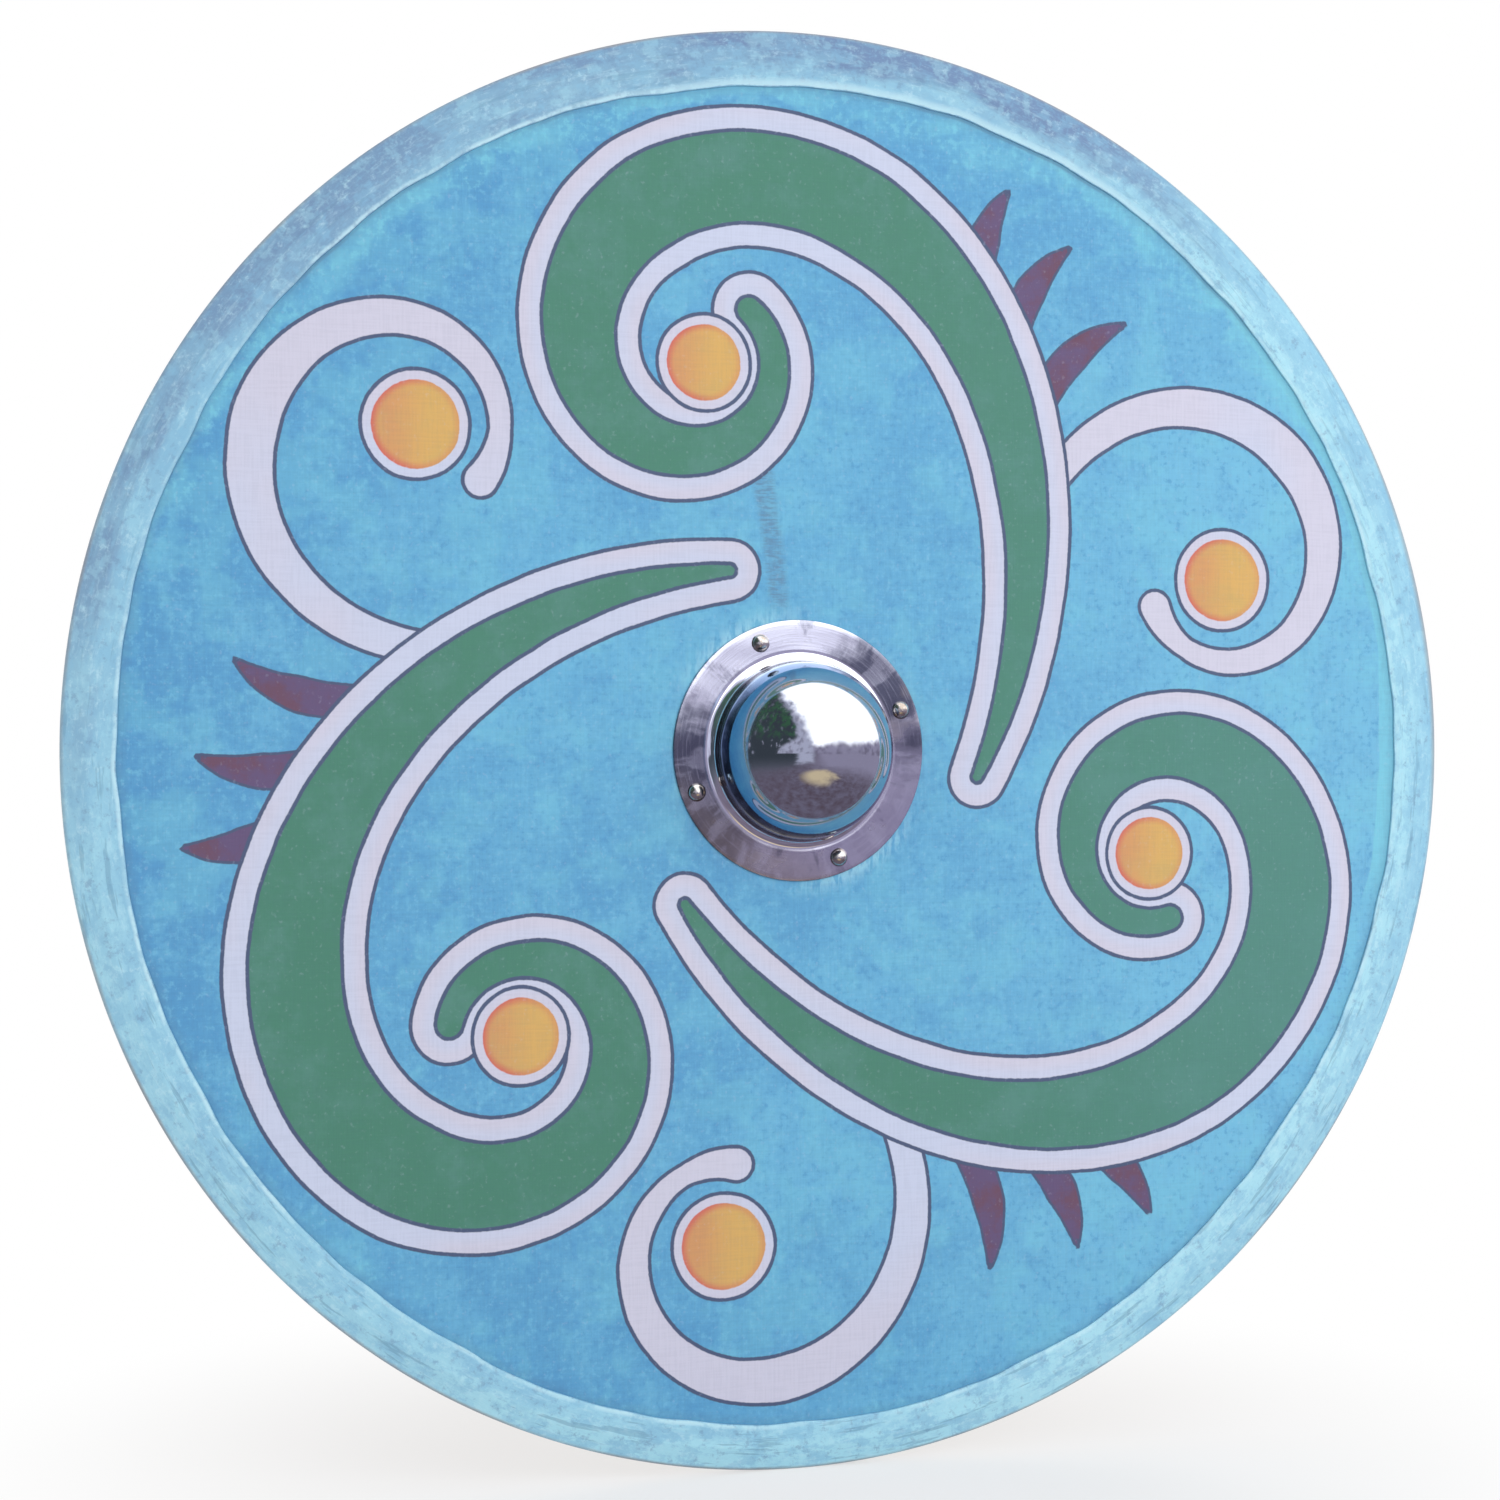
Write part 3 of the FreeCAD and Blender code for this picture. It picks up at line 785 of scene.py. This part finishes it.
def band_paint(s, band):
    """Pale paint, lighter at the inside, with lavender at the top and the upper left that is partly paint
    and partly painted shade; painted light and shade also make it lighter at the bottom and darker at the
    right.
    """
    ragged = s.plus(band.edge_distance, s.times(band.patches, 20 * MM), s.times(band.daubs, 8 * MM))
    outward = s.ramp(ragged, 20 * MM, 32 * MM)
    # Painted shade, partly the paint's own lavender: strongest at the top and the upper left.
    lavender_and_shade = s.towards(125, 0.35, 0.85, 0.0, 0.62)
    lavender_and_shade = s.math("MAXIMUM", lavender_and_shade, s.towards(84, 0.76, 0.97, 0.0, 0.82))
    inner_share = s.towards(122, 0.88, 1.0, 0.28, 0.95)
    patched = s.ramp(s.plus(band.patches, s.times(band.grain, 0.15)), 0.46, 0.64, 0.65, 1.15)
    lavender = s.times(lavender_and_shade, s.ramp(outward, 0.0, 1.0, inner_share, 1.12), patched)
    # Painted light and shade round the rim: the pale share is lower inside at the left, higher outside at
    # the bottom and lower at the right.
    painted_light_inside = s.towards(195, -0.20, 0.80, 0.80, 0.38)
    painted_light_outside = s.plus(s.towards(270, 0.80, 0.98, 0.54, 1.0), s.towards(10, 0.6, 1.0, 0.0, -0.26))
    light = s.plus(s.ramp(outward, 0.0, 1.0, painted_light_inside, painted_light_outside), s.times(lavender_and_shade, -0.35))
    daubed = s.ramp(s.plus(band.daubs, s.times(band.grain, 0.12)), 0.48, 0.60, 0.45, 1.20)
    colour = s.mix(s.ramp(band.drifts, 0.40, 0.60, 0.0, 0.12), BAND_MIDDLE, BAND_LAVENDER)
    colour = s.mix(s.times(light, daubed), colour, BAND_LIGHT)
    return s.mix(lavender, colour, BAND_LAVENDER)


def band_texture(s, band, colour):
    """Blots, bristle marks and grains of the paint, and dark dashes that fade upwards."""
    colour = s.layered(
        colour,
        (band.blots, 0.52, 0.62, 0.0, 0.30, BAND_LIGHT),
        (band.blots, 0.48, 0.38, 0.0, 0.35, BAND_MIDDLE),
        (band.bristles, 0.52, 0.66, 0.0, 0.25, BAND_PALE_AND_HIGHLIGHT),
        (band.bristles, 0.46, 0.36, 0.0, 0.25, BAND_MIDDLE),
        (band.grain, 0.54, 0.68, 0.0, 0.40, BAND_PALE_AND_HIGHLIGHT),
        (band.grain, 0.46, 0.32, 0.0, 0.45, BAND_LAVENDER),
    )
    lower = s.ramp(s.z, -0.10, 0.10, 1.0, 0.55)
    dash = s.ramp(s.plus(band.dashes, s.times(band.grain, 0.10)), 0.63, 0.69)
    return s.mix(s.times(dash, lower, 0.40), colour, BAND_DARK)


def band_edges(s, band, colour):
    """A broken painted highlight along the cut inner edge, wider and stronger at the top, and paint
    rubbed off the outer edge, with painted shade along it at the right.
    """
    uneven = s.plus(band.edge_distance, s.swing(band.grain, 1.6 * MM))
    # Painted highlight along the inner edge, wider and less broken at the top.
    line_end = s.towards(78, 0.80, 0.97, 3.4 * MM, 6 * MM)
    line = s.times(s.ramp(uneven, 0.2 * MM, 1 * MM), s.fall(uneven, 1.4 * MM, line_end))
    broken = s.times(s.ramp(band.drifts, 0.35, 0.60, 0.3, 1.0), s.ramp(band.blots, 0.42, 0.56, 0.2, 0.8))
    broken = s.math("MAXIMUM", broken, s.towards(78, 0.80, 0.97, 0.0, 0.75))
    colour = s.mix(s.times(line, broken), colour, BAND_PALE_AND_HIGHLIGHT)

    # Rubbed-off paint on the outer edge, with painted shade added: wider and stronger at the right.
    wear_and_shade_start = s.towards(8, 0.93, 1.0, rim_radius - 1.8 * MM, rim_radius - 4.6 * MM)
    grained_radius = s.plus(s.radius, s.times(band.grain, 1.2 * MM))
    outer_edge = s.ramp(grained_radius, wear_and_shade_start, rim_radius + 0.2 * MM)
    wear_and_shade_share = s.ramp(band.drifts, 0.38, 0.58, 0.25, 0.80)
    wear_and_shade_share = s.math("MAXIMUM", wear_and_shade_share, s.towards(8, 0.93, 1.0, 0.0, 0.80))
    return s.mix(s.times(outer_edge, wear_and_shade_share), colour, BAND_WEAR_AND_SHADE)


def edging_material():
    """Rawhide under pale paint, brushed along the band, raw where it is folded behind the board."""
    s = RoundShader("painted_rawhide")
    band = band_values(s)
    colour = band_edges(s, band, band_texture(s, band, band_paint(s, band)))
    behind = s.plus(s.y, s.swing(band.patches, 6 * MM))
    raw = s.mix(s.ramp(band.patches, 0.35, 0.65), HIDE, HIDE_DARK)
    colour = s.mix(s.ramp(behind, board_back - 3.4 * MM, board_back - 1.6 * MM), colour, raw)
    roughness = s.ramp(band.bristles, 0.3, 0.7, 0.48, 0.66)
    relief = s.plus(s.times(band.bristles, 0.5), s.times(band.patches, 0.6), s.times(band.grain, 0.4))
    return s.finish(colour, roughness, s.bump(relief, 0.7 * MM, 0.5))


# Boss

BOSS_STEPS_ROUND = 256
DOME_STEPS = 40
ROOT_STEPS = 12
FLANGE_RINGS = 8
FLANGE_EDGE_STEPS = 4
BOSS_UNEVENNESS = 0.0016


def arc(centre, radii, start, end, steps):
    """Points of an elliptical arc in (radius, level), between two angles in degrees."""
    turn = np.radians(np.linspace(start, end, steps))
    return np.stack([centre[0] + radii[0] * np.cos(turn), centre[1] + radii[1] * np.sin(turn)], 1)


def boss_section():
    """Sections of the boss, from the top of its dome to its flange and back to the top of its hollow."""
    flange_at_root = flange_front - (RIVET_CIRCLE_RADIUS - root_end) * FLANGE_SLOPE
    flange_at_edge = flange_front + (flange_radius - RIVET_CIRCLE_RADIUS) * FLANGE_SLOPE
    root = (root_end, root_level)
    flange_radii = np.linspace(root_end, flange_radius - FLANGE_EDGE_ROUNDING, FLANGE_RINGS)
    flange_levels = np.interp(flange_radii, [root_end, flange_radius], [flange_at_root, flange_at_edge])
    edge_centre = (flange_radius - FLANGE_EDGE_ROUNDING, flange_at_edge + FLANGE_EDGE_ROUNDING)
    outside = np.concatenate([
        arc((0, dome_level), (DOME_RADIUS, DOME_RADIUS), -90, 0, DOME_STEPS),
        arc(root, (ROOT_RADIUS, flange_at_root - root_level), 180, 90, ROOT_STEPS)[:-1],
        np.stack([flange_radii, flange_levels], 1)[:-1],
        arc(edge_centre, (FLANGE_EDGE_ROUNDING, FLANGE_EDGE_ROUNDING), -90, 0, FLANGE_EDGE_STEPS),
    ])
    inside = np.concatenate([
        [(flange_radius, linen_front)],
        arc(root, (ROOT_RADIUS + BOSS_WALL, linen_front - root_level), 90, 180, ROOT_STEPS),
        arc((0, dome_level), (DOME_RADIUS - BOSS_WALL, DOME_RADIUS - BOSS_WALL), 0, -90, DOME_STEPS),
    ])
    return outside, inside


def make_boss(material):
    """The raised steel shell, a little out of round as hand work is."""
    outside, inside = boss_section()
    section = np.concatenate([outside, inside])
    angles = round_angles(BOSS_STEPS_ROUND)
    oval = 0.6 * np.sin(2 * angles + 0.9)
    lobes = 0.4 * np.sin(5 * angles + 2.2)
    uneven = 1 - BOSS_UNEVENNESS * (1 + oval + lobes) / 2
    points = []
    for radius, level in section[1:-1]:
        x = radius * uneven * np.cos(angles)
        z = radius * uneven * np.sin(angles)
        points.extend(zip(x, np.full(BOSS_STEPS_ROUND, level), z))
    ring_count = len(section) - 2
    faces = ring_faces(ring_count, BOSS_STEPS_ROUND, closed=False)
    for pole, ring in ((section[0], 0), (section[-1], ring_count - 1)):
        points.append((0.0, pole[1], 0.0))
        start = ring * BOSS_STEPS_ROUND
        for i in range(BOSS_STEPS_ROUND):
            faces.append((len(points) - 1, start + i, start + (i + 1) % BOSS_STEPS_ROUND))
    piece = make_piece("steel_boss", points, faces, material)
    hollow = np.zeros(len(points))
    first_inside = (len(outside) - 1) * BOSS_STEPS_ROUND
    hollow[first_inside:-2] = 1
    hollow[-1] = 1
    add_values(piece, "hollow", hollow)
    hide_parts("boss")


def flange_steel(s, stains, fan_sheen, brushed):
    """Steel of the flange: painted reflections that turn with its direction, pale at the top and dark at
    the sides, painted fan-shaped sheen, tan stains with a painted tan reflection at the lower left, and
    brush marks.
    """
    around_x, _, around_z = s.split(s.around)
    # Painted reflection: pale at the top, violet below and dark at the sides.
    uneven = s.swing(s.plus(s.times(stains, 0.7), s.times(fan_sheen, 0.3)), 1.4)
    upward = s.plus(s.times(around_z, 0.94), s.times(around_x, -0.34), uneven)
    downward = s.plus(s.times(around_z, -0.84), s.times(around_x, 0.54), uneven)
    colour = s.mix(s.ramp(downward, 0.15, 0.85), DARK_STEEL_AND_SHADE, STEEL_VIOLET)
    colour = s.mix(s.ramp(upward, 0.45, 0.85), colour, STEEL_PALE)
    # Tan: stains, and a painted reflection of the ground at the lower left.
    lower_left = s.ramp(s.plus(s.times(s.x, -0.5), s.times(s.z, -0.86)), 35 * MM, 70 * MM)
    tan = s.plus(s.ramp(stains, 0.54, 0.70, 0.0, 0.5), s.times(lower_left, 0.8))
    return s.layered(
        s.mix(s.times(tan, 0.5), colour, STEEL_TAN),
        # Painted fan-shaped sheen of the brushed steel.
        (fan_sheen, 0.50, 0.62, 0.0, 0.28, STEEL_PALE),
        (fan_sheen, 0.46, 0.34, 0.0, 0.50, DARK_STEEL_AND_SHADE),
        (brushed, 0.52, 0.70, 0.0, 0.20, STEEL_PALE),
    )


def boss_material():
    """Steel of the boss: a brushed violet-grey flange and a polished dome, with a painted dark reflection
    on the neck, a painted highlight on the root and the board's blue painted round the dome's rim as a
    reflection.
    """
    s = RoundShader("boss_steel")
    brushed = s.strokes(3.0, 900.0, detail=3.0, roughness=0.6)
    fan_sheen = s.strokes(5.0, 30.0, detail=4.0, roughness=0.6)
    stains = s.noise(s.position, 26.0, detail=4.0, roughness=0.6)
    waves = s.noise(s.position, 30.0, detail=1.0)
    hollow = s.mesh_value("hollow")
    flange = s.ramp(s.radius, root_end - 2.5 * MM, root_end + 0.5 * MM)
    neck = s.times(
        s.fall(s.y, root_level + 2 * MM, root_level + 4 * MM),
        s.ramp(s.y, dome_level - 4 * MM, dome_level - 2 * MM),
    )
    # Painted reflection: the board's blue round the dome's rim.
    dome = s.mix(s.ramp(s.y, dome_level - 30 * MM, dome_level - 16 * MM), STEEL, BOARD_BLUE_REFLECTION)
    # Painted highlight: a bright ring on the root of the dome.
    shell = s.mix(s.ramp(s.y, dome_level - 2 * MM, dome_level), dome, STEEL_HIGHLIGHT)
    colour = s.mix(flange, shell, flange_steel(s, stains, fan_sheen, brushed))
    # Painted dark reflection on the neck.
    colour = s.mix(s.times(neck, 0.9), colour, STEEL_DARK_REFLECTION)
    colour = s.mix(hollow, colour, s.mix(s.ramp(stains, 0.45, 0.65), DARK_STEEL_AND_SHADE, IRON_RUST))
    roughness = s.plus(s.times(flange, 0.17), s.ramp(stains, 0.3, 0.7, 0.05, 0.12), s.times(hollow, 0.30))
    wavy = s.times(waves, s.plus(s.times(flange, 1.2), 0.5))
    relief = s.plus(wavy, s.times(brushed, flange, 0.05))
    return s.finish(colour, roughness, s.bump(relief, 1.2 * MM, 0.5), metallic=1.0)


def plain_metal(name, colour, tint, roughness, dent):
    """Metal of the small pieces, tinted in patches and rusty behind the board."""
    s = Shader(name)
    place = s.place()
    _, y, _ = s.split(place)
    patches = s.noise(place, 240.0, detail=4.0, roughness=0.6)
    dents = s.noise(place, 420.0, detail=2.0)
    behind = s.ramp(y, board_front, board_back)
    tinted = s.mix(s.ramp(patches, 0.45, 0.65), colour, tint)
    tinted = s.mix(behind, tinted, s.mix(s.ramp(patches, 0.45, 0.60), IRON, IRON_RUST))
    rough = s.plus(s.ramp(patches, 0.3, 0.7, *roughness), s.times(behind, 0.2))
    return s.finish(tinted, rough, s.bump(dents, dent, 0.6), metallic=1.0)


# Wood

WOOD_SEED_SHIFT = (0.173, 0.311, 0.071)
WOOD_RING_COUNT = 26.0
WOOD_SCALES = {
    "ring": (0.65, 13.0),
    "fibre": (11.0, 620.0),
    "pore": (60.0, 1500.0),
    "stain": (4.0, 16.0),
}


def wood_material(name, pale, dark, seed, grain_axis, seams=()):
    """Bare wood with rings and fibres along an axis, other in each piece by its seed.

    The seams are the places across a plank, in x, where it meets its neighbours.
    """
    s = Shader(name)
    plain_place = s.place()
    place = s.vector("ADD", plain_place, tuple(seed * shift for shift in WOOD_SEED_SHIFT))
    noises = {}
    for kind, (along, across) in WOOD_SCALES.items():
        scales = (along, across, across) if grain_axis == "X" else (across, across, along)
        noises[kind] = s.drawn_noise(place, scales, detail=3.0, roughness=0.6)
    fibre = noises["fibre"]
    drift = s.noise(place, 2.2, detail=1.0)
    rings = s.plus(noises["ring"], s.times(drift, 0.6), s.times(fibre, 0.012))
    growth = s.math("FRACT", s.times(rings, WOOD_RING_COUNT))
    late_wood = s.times(s.ramp(growth, 0.25, 0.88), s.fall(growth, 0.92, 1.0))
    colour = s.layered(
        s.mix(s.times(late_wood, s.ramp(drift, 0.3, 0.7, 0.45, 0.85)), pale, dark),
        (fibre, 0.50, 0.70, 0.0, 0.40, dark),
        (noises["pore"], 0.60, 0.72, 0.0, 0.35, WOOD_GREY),
        (noises["stain"], 0.46, 0.66, 0.0, 0.35, WOOD_GREY),
    )
    x, _, _ = s.split(plain_place)
    for seam in seams:
        reach = s.plus(s.math("ABSOLUTE", s.plus(x, -seam)), s.times(fibre, 1.2 * MM))
        colour = s.layered(
            colour,
            (reach, 1.2 * MM, 2.6 * MM, 0.85, 0.0, SEAM_DARK),
            (reach, 1.0 * MM, 12 * MM, 0.25, 0.0, WOOD_GREY),
        )
    roughness = s.ramp(fibre, 0.3, 0.7, 0.55, 0.78)
    relief = s.plus(s.times(late_wood, 0.15), fibre, s.times(noises["pore"], 0.4))
    return s.finish(colour, roughness, s.bump(relief, 0.4 * MM, 0.5))


# The pieces

PLANK_TONES = (0.92, 1.06, 0.84, 1.0, 0.88, 1.08, 0.95)
GRIP_SEED = 9
RIVET_COUNT = 4

facing = make_facing(facing_material())
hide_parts("linen_facing")
planks = [f"plank_{i}" for i in range(1, len(PLANK_TONES) + 1)]

rawhide = edging_material()
half_gap = math.degrees(EDGING_JOINT_GAP / board_radius) / 2
for index in (1, 2):
    start = EDGING_JOINT_ANGLE + 180 * (index - 1) + half_gap
    end = EDGING_JOINT_ANGLE + 180 * index - half_gap
    make_edging(f"edging_band_{index}", start, end, rawhide, f"rim_edging_{index}")

make_boss(boss_material())

for index, (name, tone) in enumerate(zip(planks, PLANK_TONES), start=1):
    pale = tuple(part * tone for part in PINE)
    dark = tuple(part * tone for part in PINE_DARK)
    low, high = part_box(name)
    seams = [edge for edge in (low.x, high.x) if abs(edge) < board_radius - MM]
    paint_node(name, wood_material(f"plank_wood_{index}", pale, dark, index, "Z", seams))
paint_node("grip_bar", wood_material("grip_wood", ASH_WOOD, ASH_WOOD_DARK, GRIP_SEED, "X"))
rivet_steel = plain_metal("rivet_steel", STEEL_WARM, STEEL_TAN, roughness=(0.14, 0.26), dent=0.2 * MM)
rove_iron = plain_metal("rove_iron", IRON, IRON_RUST, roughness=(0.30, 0.45), dent=0.4 * MM)
for index in range(1, RIVET_COUNT + 1):
    paint_node(f"boss_rivet_{index}", rivet_steel)
    paint_node(f"boss_rove_{index}", rove_iron)
paint_node("grip_nails", rove_iron)
paint_node("grip_nail_roves", rove_iron)


# Floor, light and camera

FLOOR_SIZE = 12.0
FLOOR_FADE_START = 0.15
FLOOR_FADE_END = 0.55
FLOOR_WHITE_NEAR = 0.60
DIFFUSE_SKY = 0.68
SKY_GLARE = 1.2
MIRRORED_GROUND_BACK = 0.5
STRAW_PLACE = (0.04, -0.75)
LAMP_SIZE = 1.6

SKY_TINT = (0.950, 0.970, 1.000)
WALL_LILAC = (0.620, 0.640, 0.820)
TREE_DARK = (0.060, 0.075, 0.095)
TREE_GREEN = (0.060, 0.160, 0.090)
EARTH_PALE = (0.430, 0.400, 0.560)
EARTH_VIOLET = (0.230, 0.210, 0.300)
EARTH_BROWN = (0.140, 0.105, 0.140)
EARTH_SHADE = (0.140, 0.150, 0.195)
STRAW = (0.900, 0.740, 0.480)


def make_plane(name, level, back, material):
    """A flat stage piece at a level, from far before the shield to a place behind it."""
    half = FLOOR_SIZE / 2
    corners = [(-half, -half, level), (half, -half, level), (half, back, level), (-half, back, level)]
    mesh = bpy.data.meshes.new(name)
    mesh.from_pydata(corners, [], [(0, 1, 2, 3)])
    mesh.materials.append(material)
    plane = bpy.data.objects.new(name, mesh)
    bpy.context.scene.collection.objects.link(plane)
    plane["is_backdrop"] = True
    return plane


def make_floor():
    """A pale floor that fades to plain white away from the shield and keeps its shadow."""
    s = Shader("floor_pale")
    place = s.place()
    dust = s.noise(place, 60.0, detail=3.0)
    s.finish(FLOOR_PALE, s.ramp(dust, 0.3, 0.7, 0.8, 0.9), s.bump(dust, 0.2 * MM, 0.2))
    distance = s.length(s.stretch(place, FLOOR_PLANE))
    away = s.ramp(distance, FLOOR_FADE_START, FLOOR_FADE_END, FLOOR_WHITE_NEAR, 1.0)
    glow = s.add("ShaderNodeEmission", {"Color": WHITE, "Strength": 1.0})
    shown = s.times(away, s.background_seen())
    s.show(s.add("ShaderNodeMixShader", {0: shown, 1: s.surface.outputs[0], 2: glow}))
    make_plane("floor", cad_low.z, FLOOR_SIZE / 2, s.material)


def make_mirrored_ground():
    """Dark ground before the shield that only mirrors see, so that the polished dome has contrast."""
    s = Shader("mirrored_ground")
    place = s.place()
    x, y, _ = s.split(place)
    tufts = s.noise(place, 2.6, detail=6.0, roughness=0.7)
    clods = s.noise(place, 14.0, detail=4.0, roughness=0.7)
    ragged = s.swing(s.noise(place, 7.0, detail=5.0, roughness=0.7), 0.34)
    distance = s.length(s.stretch(place, FLOOR_PLANE))
    far_off = s.ramp(s.plus(distance, s.times(tufts, 0.9)), 0.9, 2.0)
    to_right = s.ramp(s.plus(x, s.times(tufts, 0.6)), -0.3, 0.9)
    to_left = s.fall(s.plus(x, s.times(tufts, 0.8)), -0.6, 0.3)
    colour = s.mix(s.ramp(clods, 0.30, 0.70), EARTH_VIOLET, EARTH_BROWN)
    colour = s.mix(s.times(far_off, s.ramp(to_right, 0.0, 1.0, 0.15, 0.9)), colour, EARTH_PALE)
    colour = s.mix(s.times(far_off, to_left), colour, EARTH_SHADE)

    bearing = s.plus(s.math("DIVIDE", x, distance), s.swing(tufts, 0.30))
    before_wall = s.times(s.ramp(bearing, -0.52, -0.42), s.fall(bearing, -0.16, -0.04))
    wall_foot = s.ramp(s.plus(distance, s.times(tufts, 1.2)), 1.9, 2.5)
    colour = s.mix(s.times(before_wall, wall_foot), colour, WALL_LILAC)
    dip = s.plus(s.math("DIVIDE", -cad_low.z, distance), s.times(ragged, 0.5))
    before_trees = s.times(s.fall(bearing, -0.48, -0.38), s.fall(dip, 0.08, 0.45))
    colour = s.mix(before_trees, colour, TREE_DARK)

    straw_x = s.times(s.plus(x, -STRAW_PLACE[0], ragged), 0.7)
    straw_y = s.times(s.plus(y, -STRAW_PLACE[1]), 0.8)
    straw_reach = s.length(s.join(straw_x, straw_y, 0.0))
    straw = s.fall(s.plus(straw_reach, s.times(ragged, 0.5)), 0.10, 0.27)
    colour = s.mix(straw, colour, STRAW)
    s.show(s.add("ShaderNodeEmission", {"Color": colour, "Strength": 1.0}))
    ground = make_plane("mirrored_ground", cad_low.z + MM, MIRRORED_GROUND_BACK, s.material)
    ground.visible_camera = False
    ground.visible_diffuse = False
    ground.visible_shadow = False
    ground.visible_transmission = False


def make_world():
    """Even light for the paint, and surroundings that only mirrors see before the shield.

    The camera sees plain white, and so do mirrors that look past the shield. Those that look
    ahead of it see a bright sky to the right, and a pale wall and dark trees to the left.
    """
    world = bpy.data.worlds.new("studio")
    bpy.context.scene.world = world
    world.use_nodes = True
    world.cycles.sampling_method = "NONE"
    g = Graph(world.node_tree)
    direction = g.add("ShaderNodeTexCoord", {}, out="Generated")
    x, y, z = g.split(direction)
    ragged = g.swing(g.noise(direction, 3.4, detail=6.0, roughness=0.7), 0.9)
    leaves = g.noise(direction, 8.0, detail=6.0, roughness=0.75)
    specks = g.noise(g.stretch(direction, (1.0, 1.0, 0.6)), 11.0, detail=3.0)

    sky = g.ramp(g.plus(z, g.times(ragged, 0.35)), 0.08, 0.20)
    above_wall = g.ramp(g.plus(z, g.times(ragged, 0.3)), 0.06, 0.34, 0.30, 0.0)
    trees = g.fall(g.plus(x, g.times(ragged, 0.55), above_wall), -0.50, -0.36)
    wall = g.fall(g.plus(x, g.times(z, 0.28), g.times(ragged, 0.5)), -0.18, -0.02)
    greenery = g.times(g.ramp(leaves, 0.46, 0.58), g.ramp(z, 0.15, 0.45))
    gaps = g.times(g.ramp(specks, 0.60, 0.66), g.ramp(z, 0.05, 0.35, 1.0, 0.2))
    tree_colour = g.mix(gaps, g.mix(greenery, TREE_DARK, TREE_GREEN), WALL_LILAC)
    colour = g.mix(g.ramp(leaves, 0.45, 0.60), EARTH_PALE, EARTH_VIOLET)
    colour = g.mix(sky, colour, SKY_TINT)
    wall_colour = g.mix(g.ramp(leaves, 0.48, 0.62, 0.0, 0.7), WALL_LILAC, EARTH_VIOLET)
    colour = g.mix(wall, colour, wall_colour)
    colour = g.mix(trees, colour, tree_colour)

    path = g.tree.nodes.new("ShaderNodeLightPath").outputs
    ahead = g.times(g.fall(y, 0.10, 0.16), path["Is Glossy Ray"])
    colour = g.mix(ahead, WHITE, colour)
    open_sky = g.times(sky, g.math("SUBTRACT", 1.0, trees), g.math("SUBTRACT", 1.0, wall))
    glare = g.times(ahead, open_sky, SKY_GLARE)
    strength = g.plus(g.ramp(g.background_seen(), 0.0, 1.0, DIFFUSE_SKY, 1.0), glare)
    background = g.tree.nodes["Background"]
    g.feed(background.inputs["Color"], colour)
    g.feed(background.inputs["Strength"], strength)


def make_lamp(name, place, power):
    """A round soft lamp that faces the middle of the shield and isn't mirrored itself."""
    lamp = bpy.data.lights.new(name, "AREA")
    lamp.shape = "DISK"
    lamp.size = LAMP_SIZE
    lamp.energy = power
    holder = bpy.data.objects.new(name, lamp)
    holder.location = place
    holder.rotation_euler = (-Vector(place)).to_track_quat("-Z", "Y").to_euler()
    holder.visible_glossy = False
    bpy.context.scene.collection.objects.link(holder)


CAMERA_AZIMUTH = -16.81
CAMERA_ELEVATION = 0.11
CAMERA_DISTANCE = 1.635
CAMERA_LENS = 67.83
CAMERA_TARGET = (-29.5 * MM, -20.0 * MM, 0.4 * MM)


def make_camera():
    """The camera at the photograph's angle."""
    azimuth, elevation = math.radians(CAMERA_AZIMUTH), math.radians(CAMERA_ELEVATION)
    back = Vector((
        math.sin(azimuth) * math.cos(elevation),
        -math.cos(azimuth) * math.cos(elevation),
        math.sin(elevation),
    ))
    lens = bpy.data.cameras.new("camera")
    lens.lens = CAMERA_LENS
    camera = bpy.data.objects.new("camera", lens)
    camera.location = Vector(CAMERA_TARGET) + back * CAMERA_DISTANCE
    camera.rotation_euler = (-back).to_track_quat("-Z", "Y").to_euler()
    bpy.context.scene.collection.objects.link(camera)
    bpy.context.scene.camera = camera


make_floor()
make_mirrored_ground()
make_world()
make_lamp("key_light", (1.4, -1.9, 0.7), power=20.0)
make_lamp("fill_light", (-1.7, -1.7, 0.2), power=8.0)
make_lamp("back_light", (0.8, 2.2, 1.2), power=16.0)
make_camera()
bpy.context.scene.view_settings.view_transform = "Standard"

low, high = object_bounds()
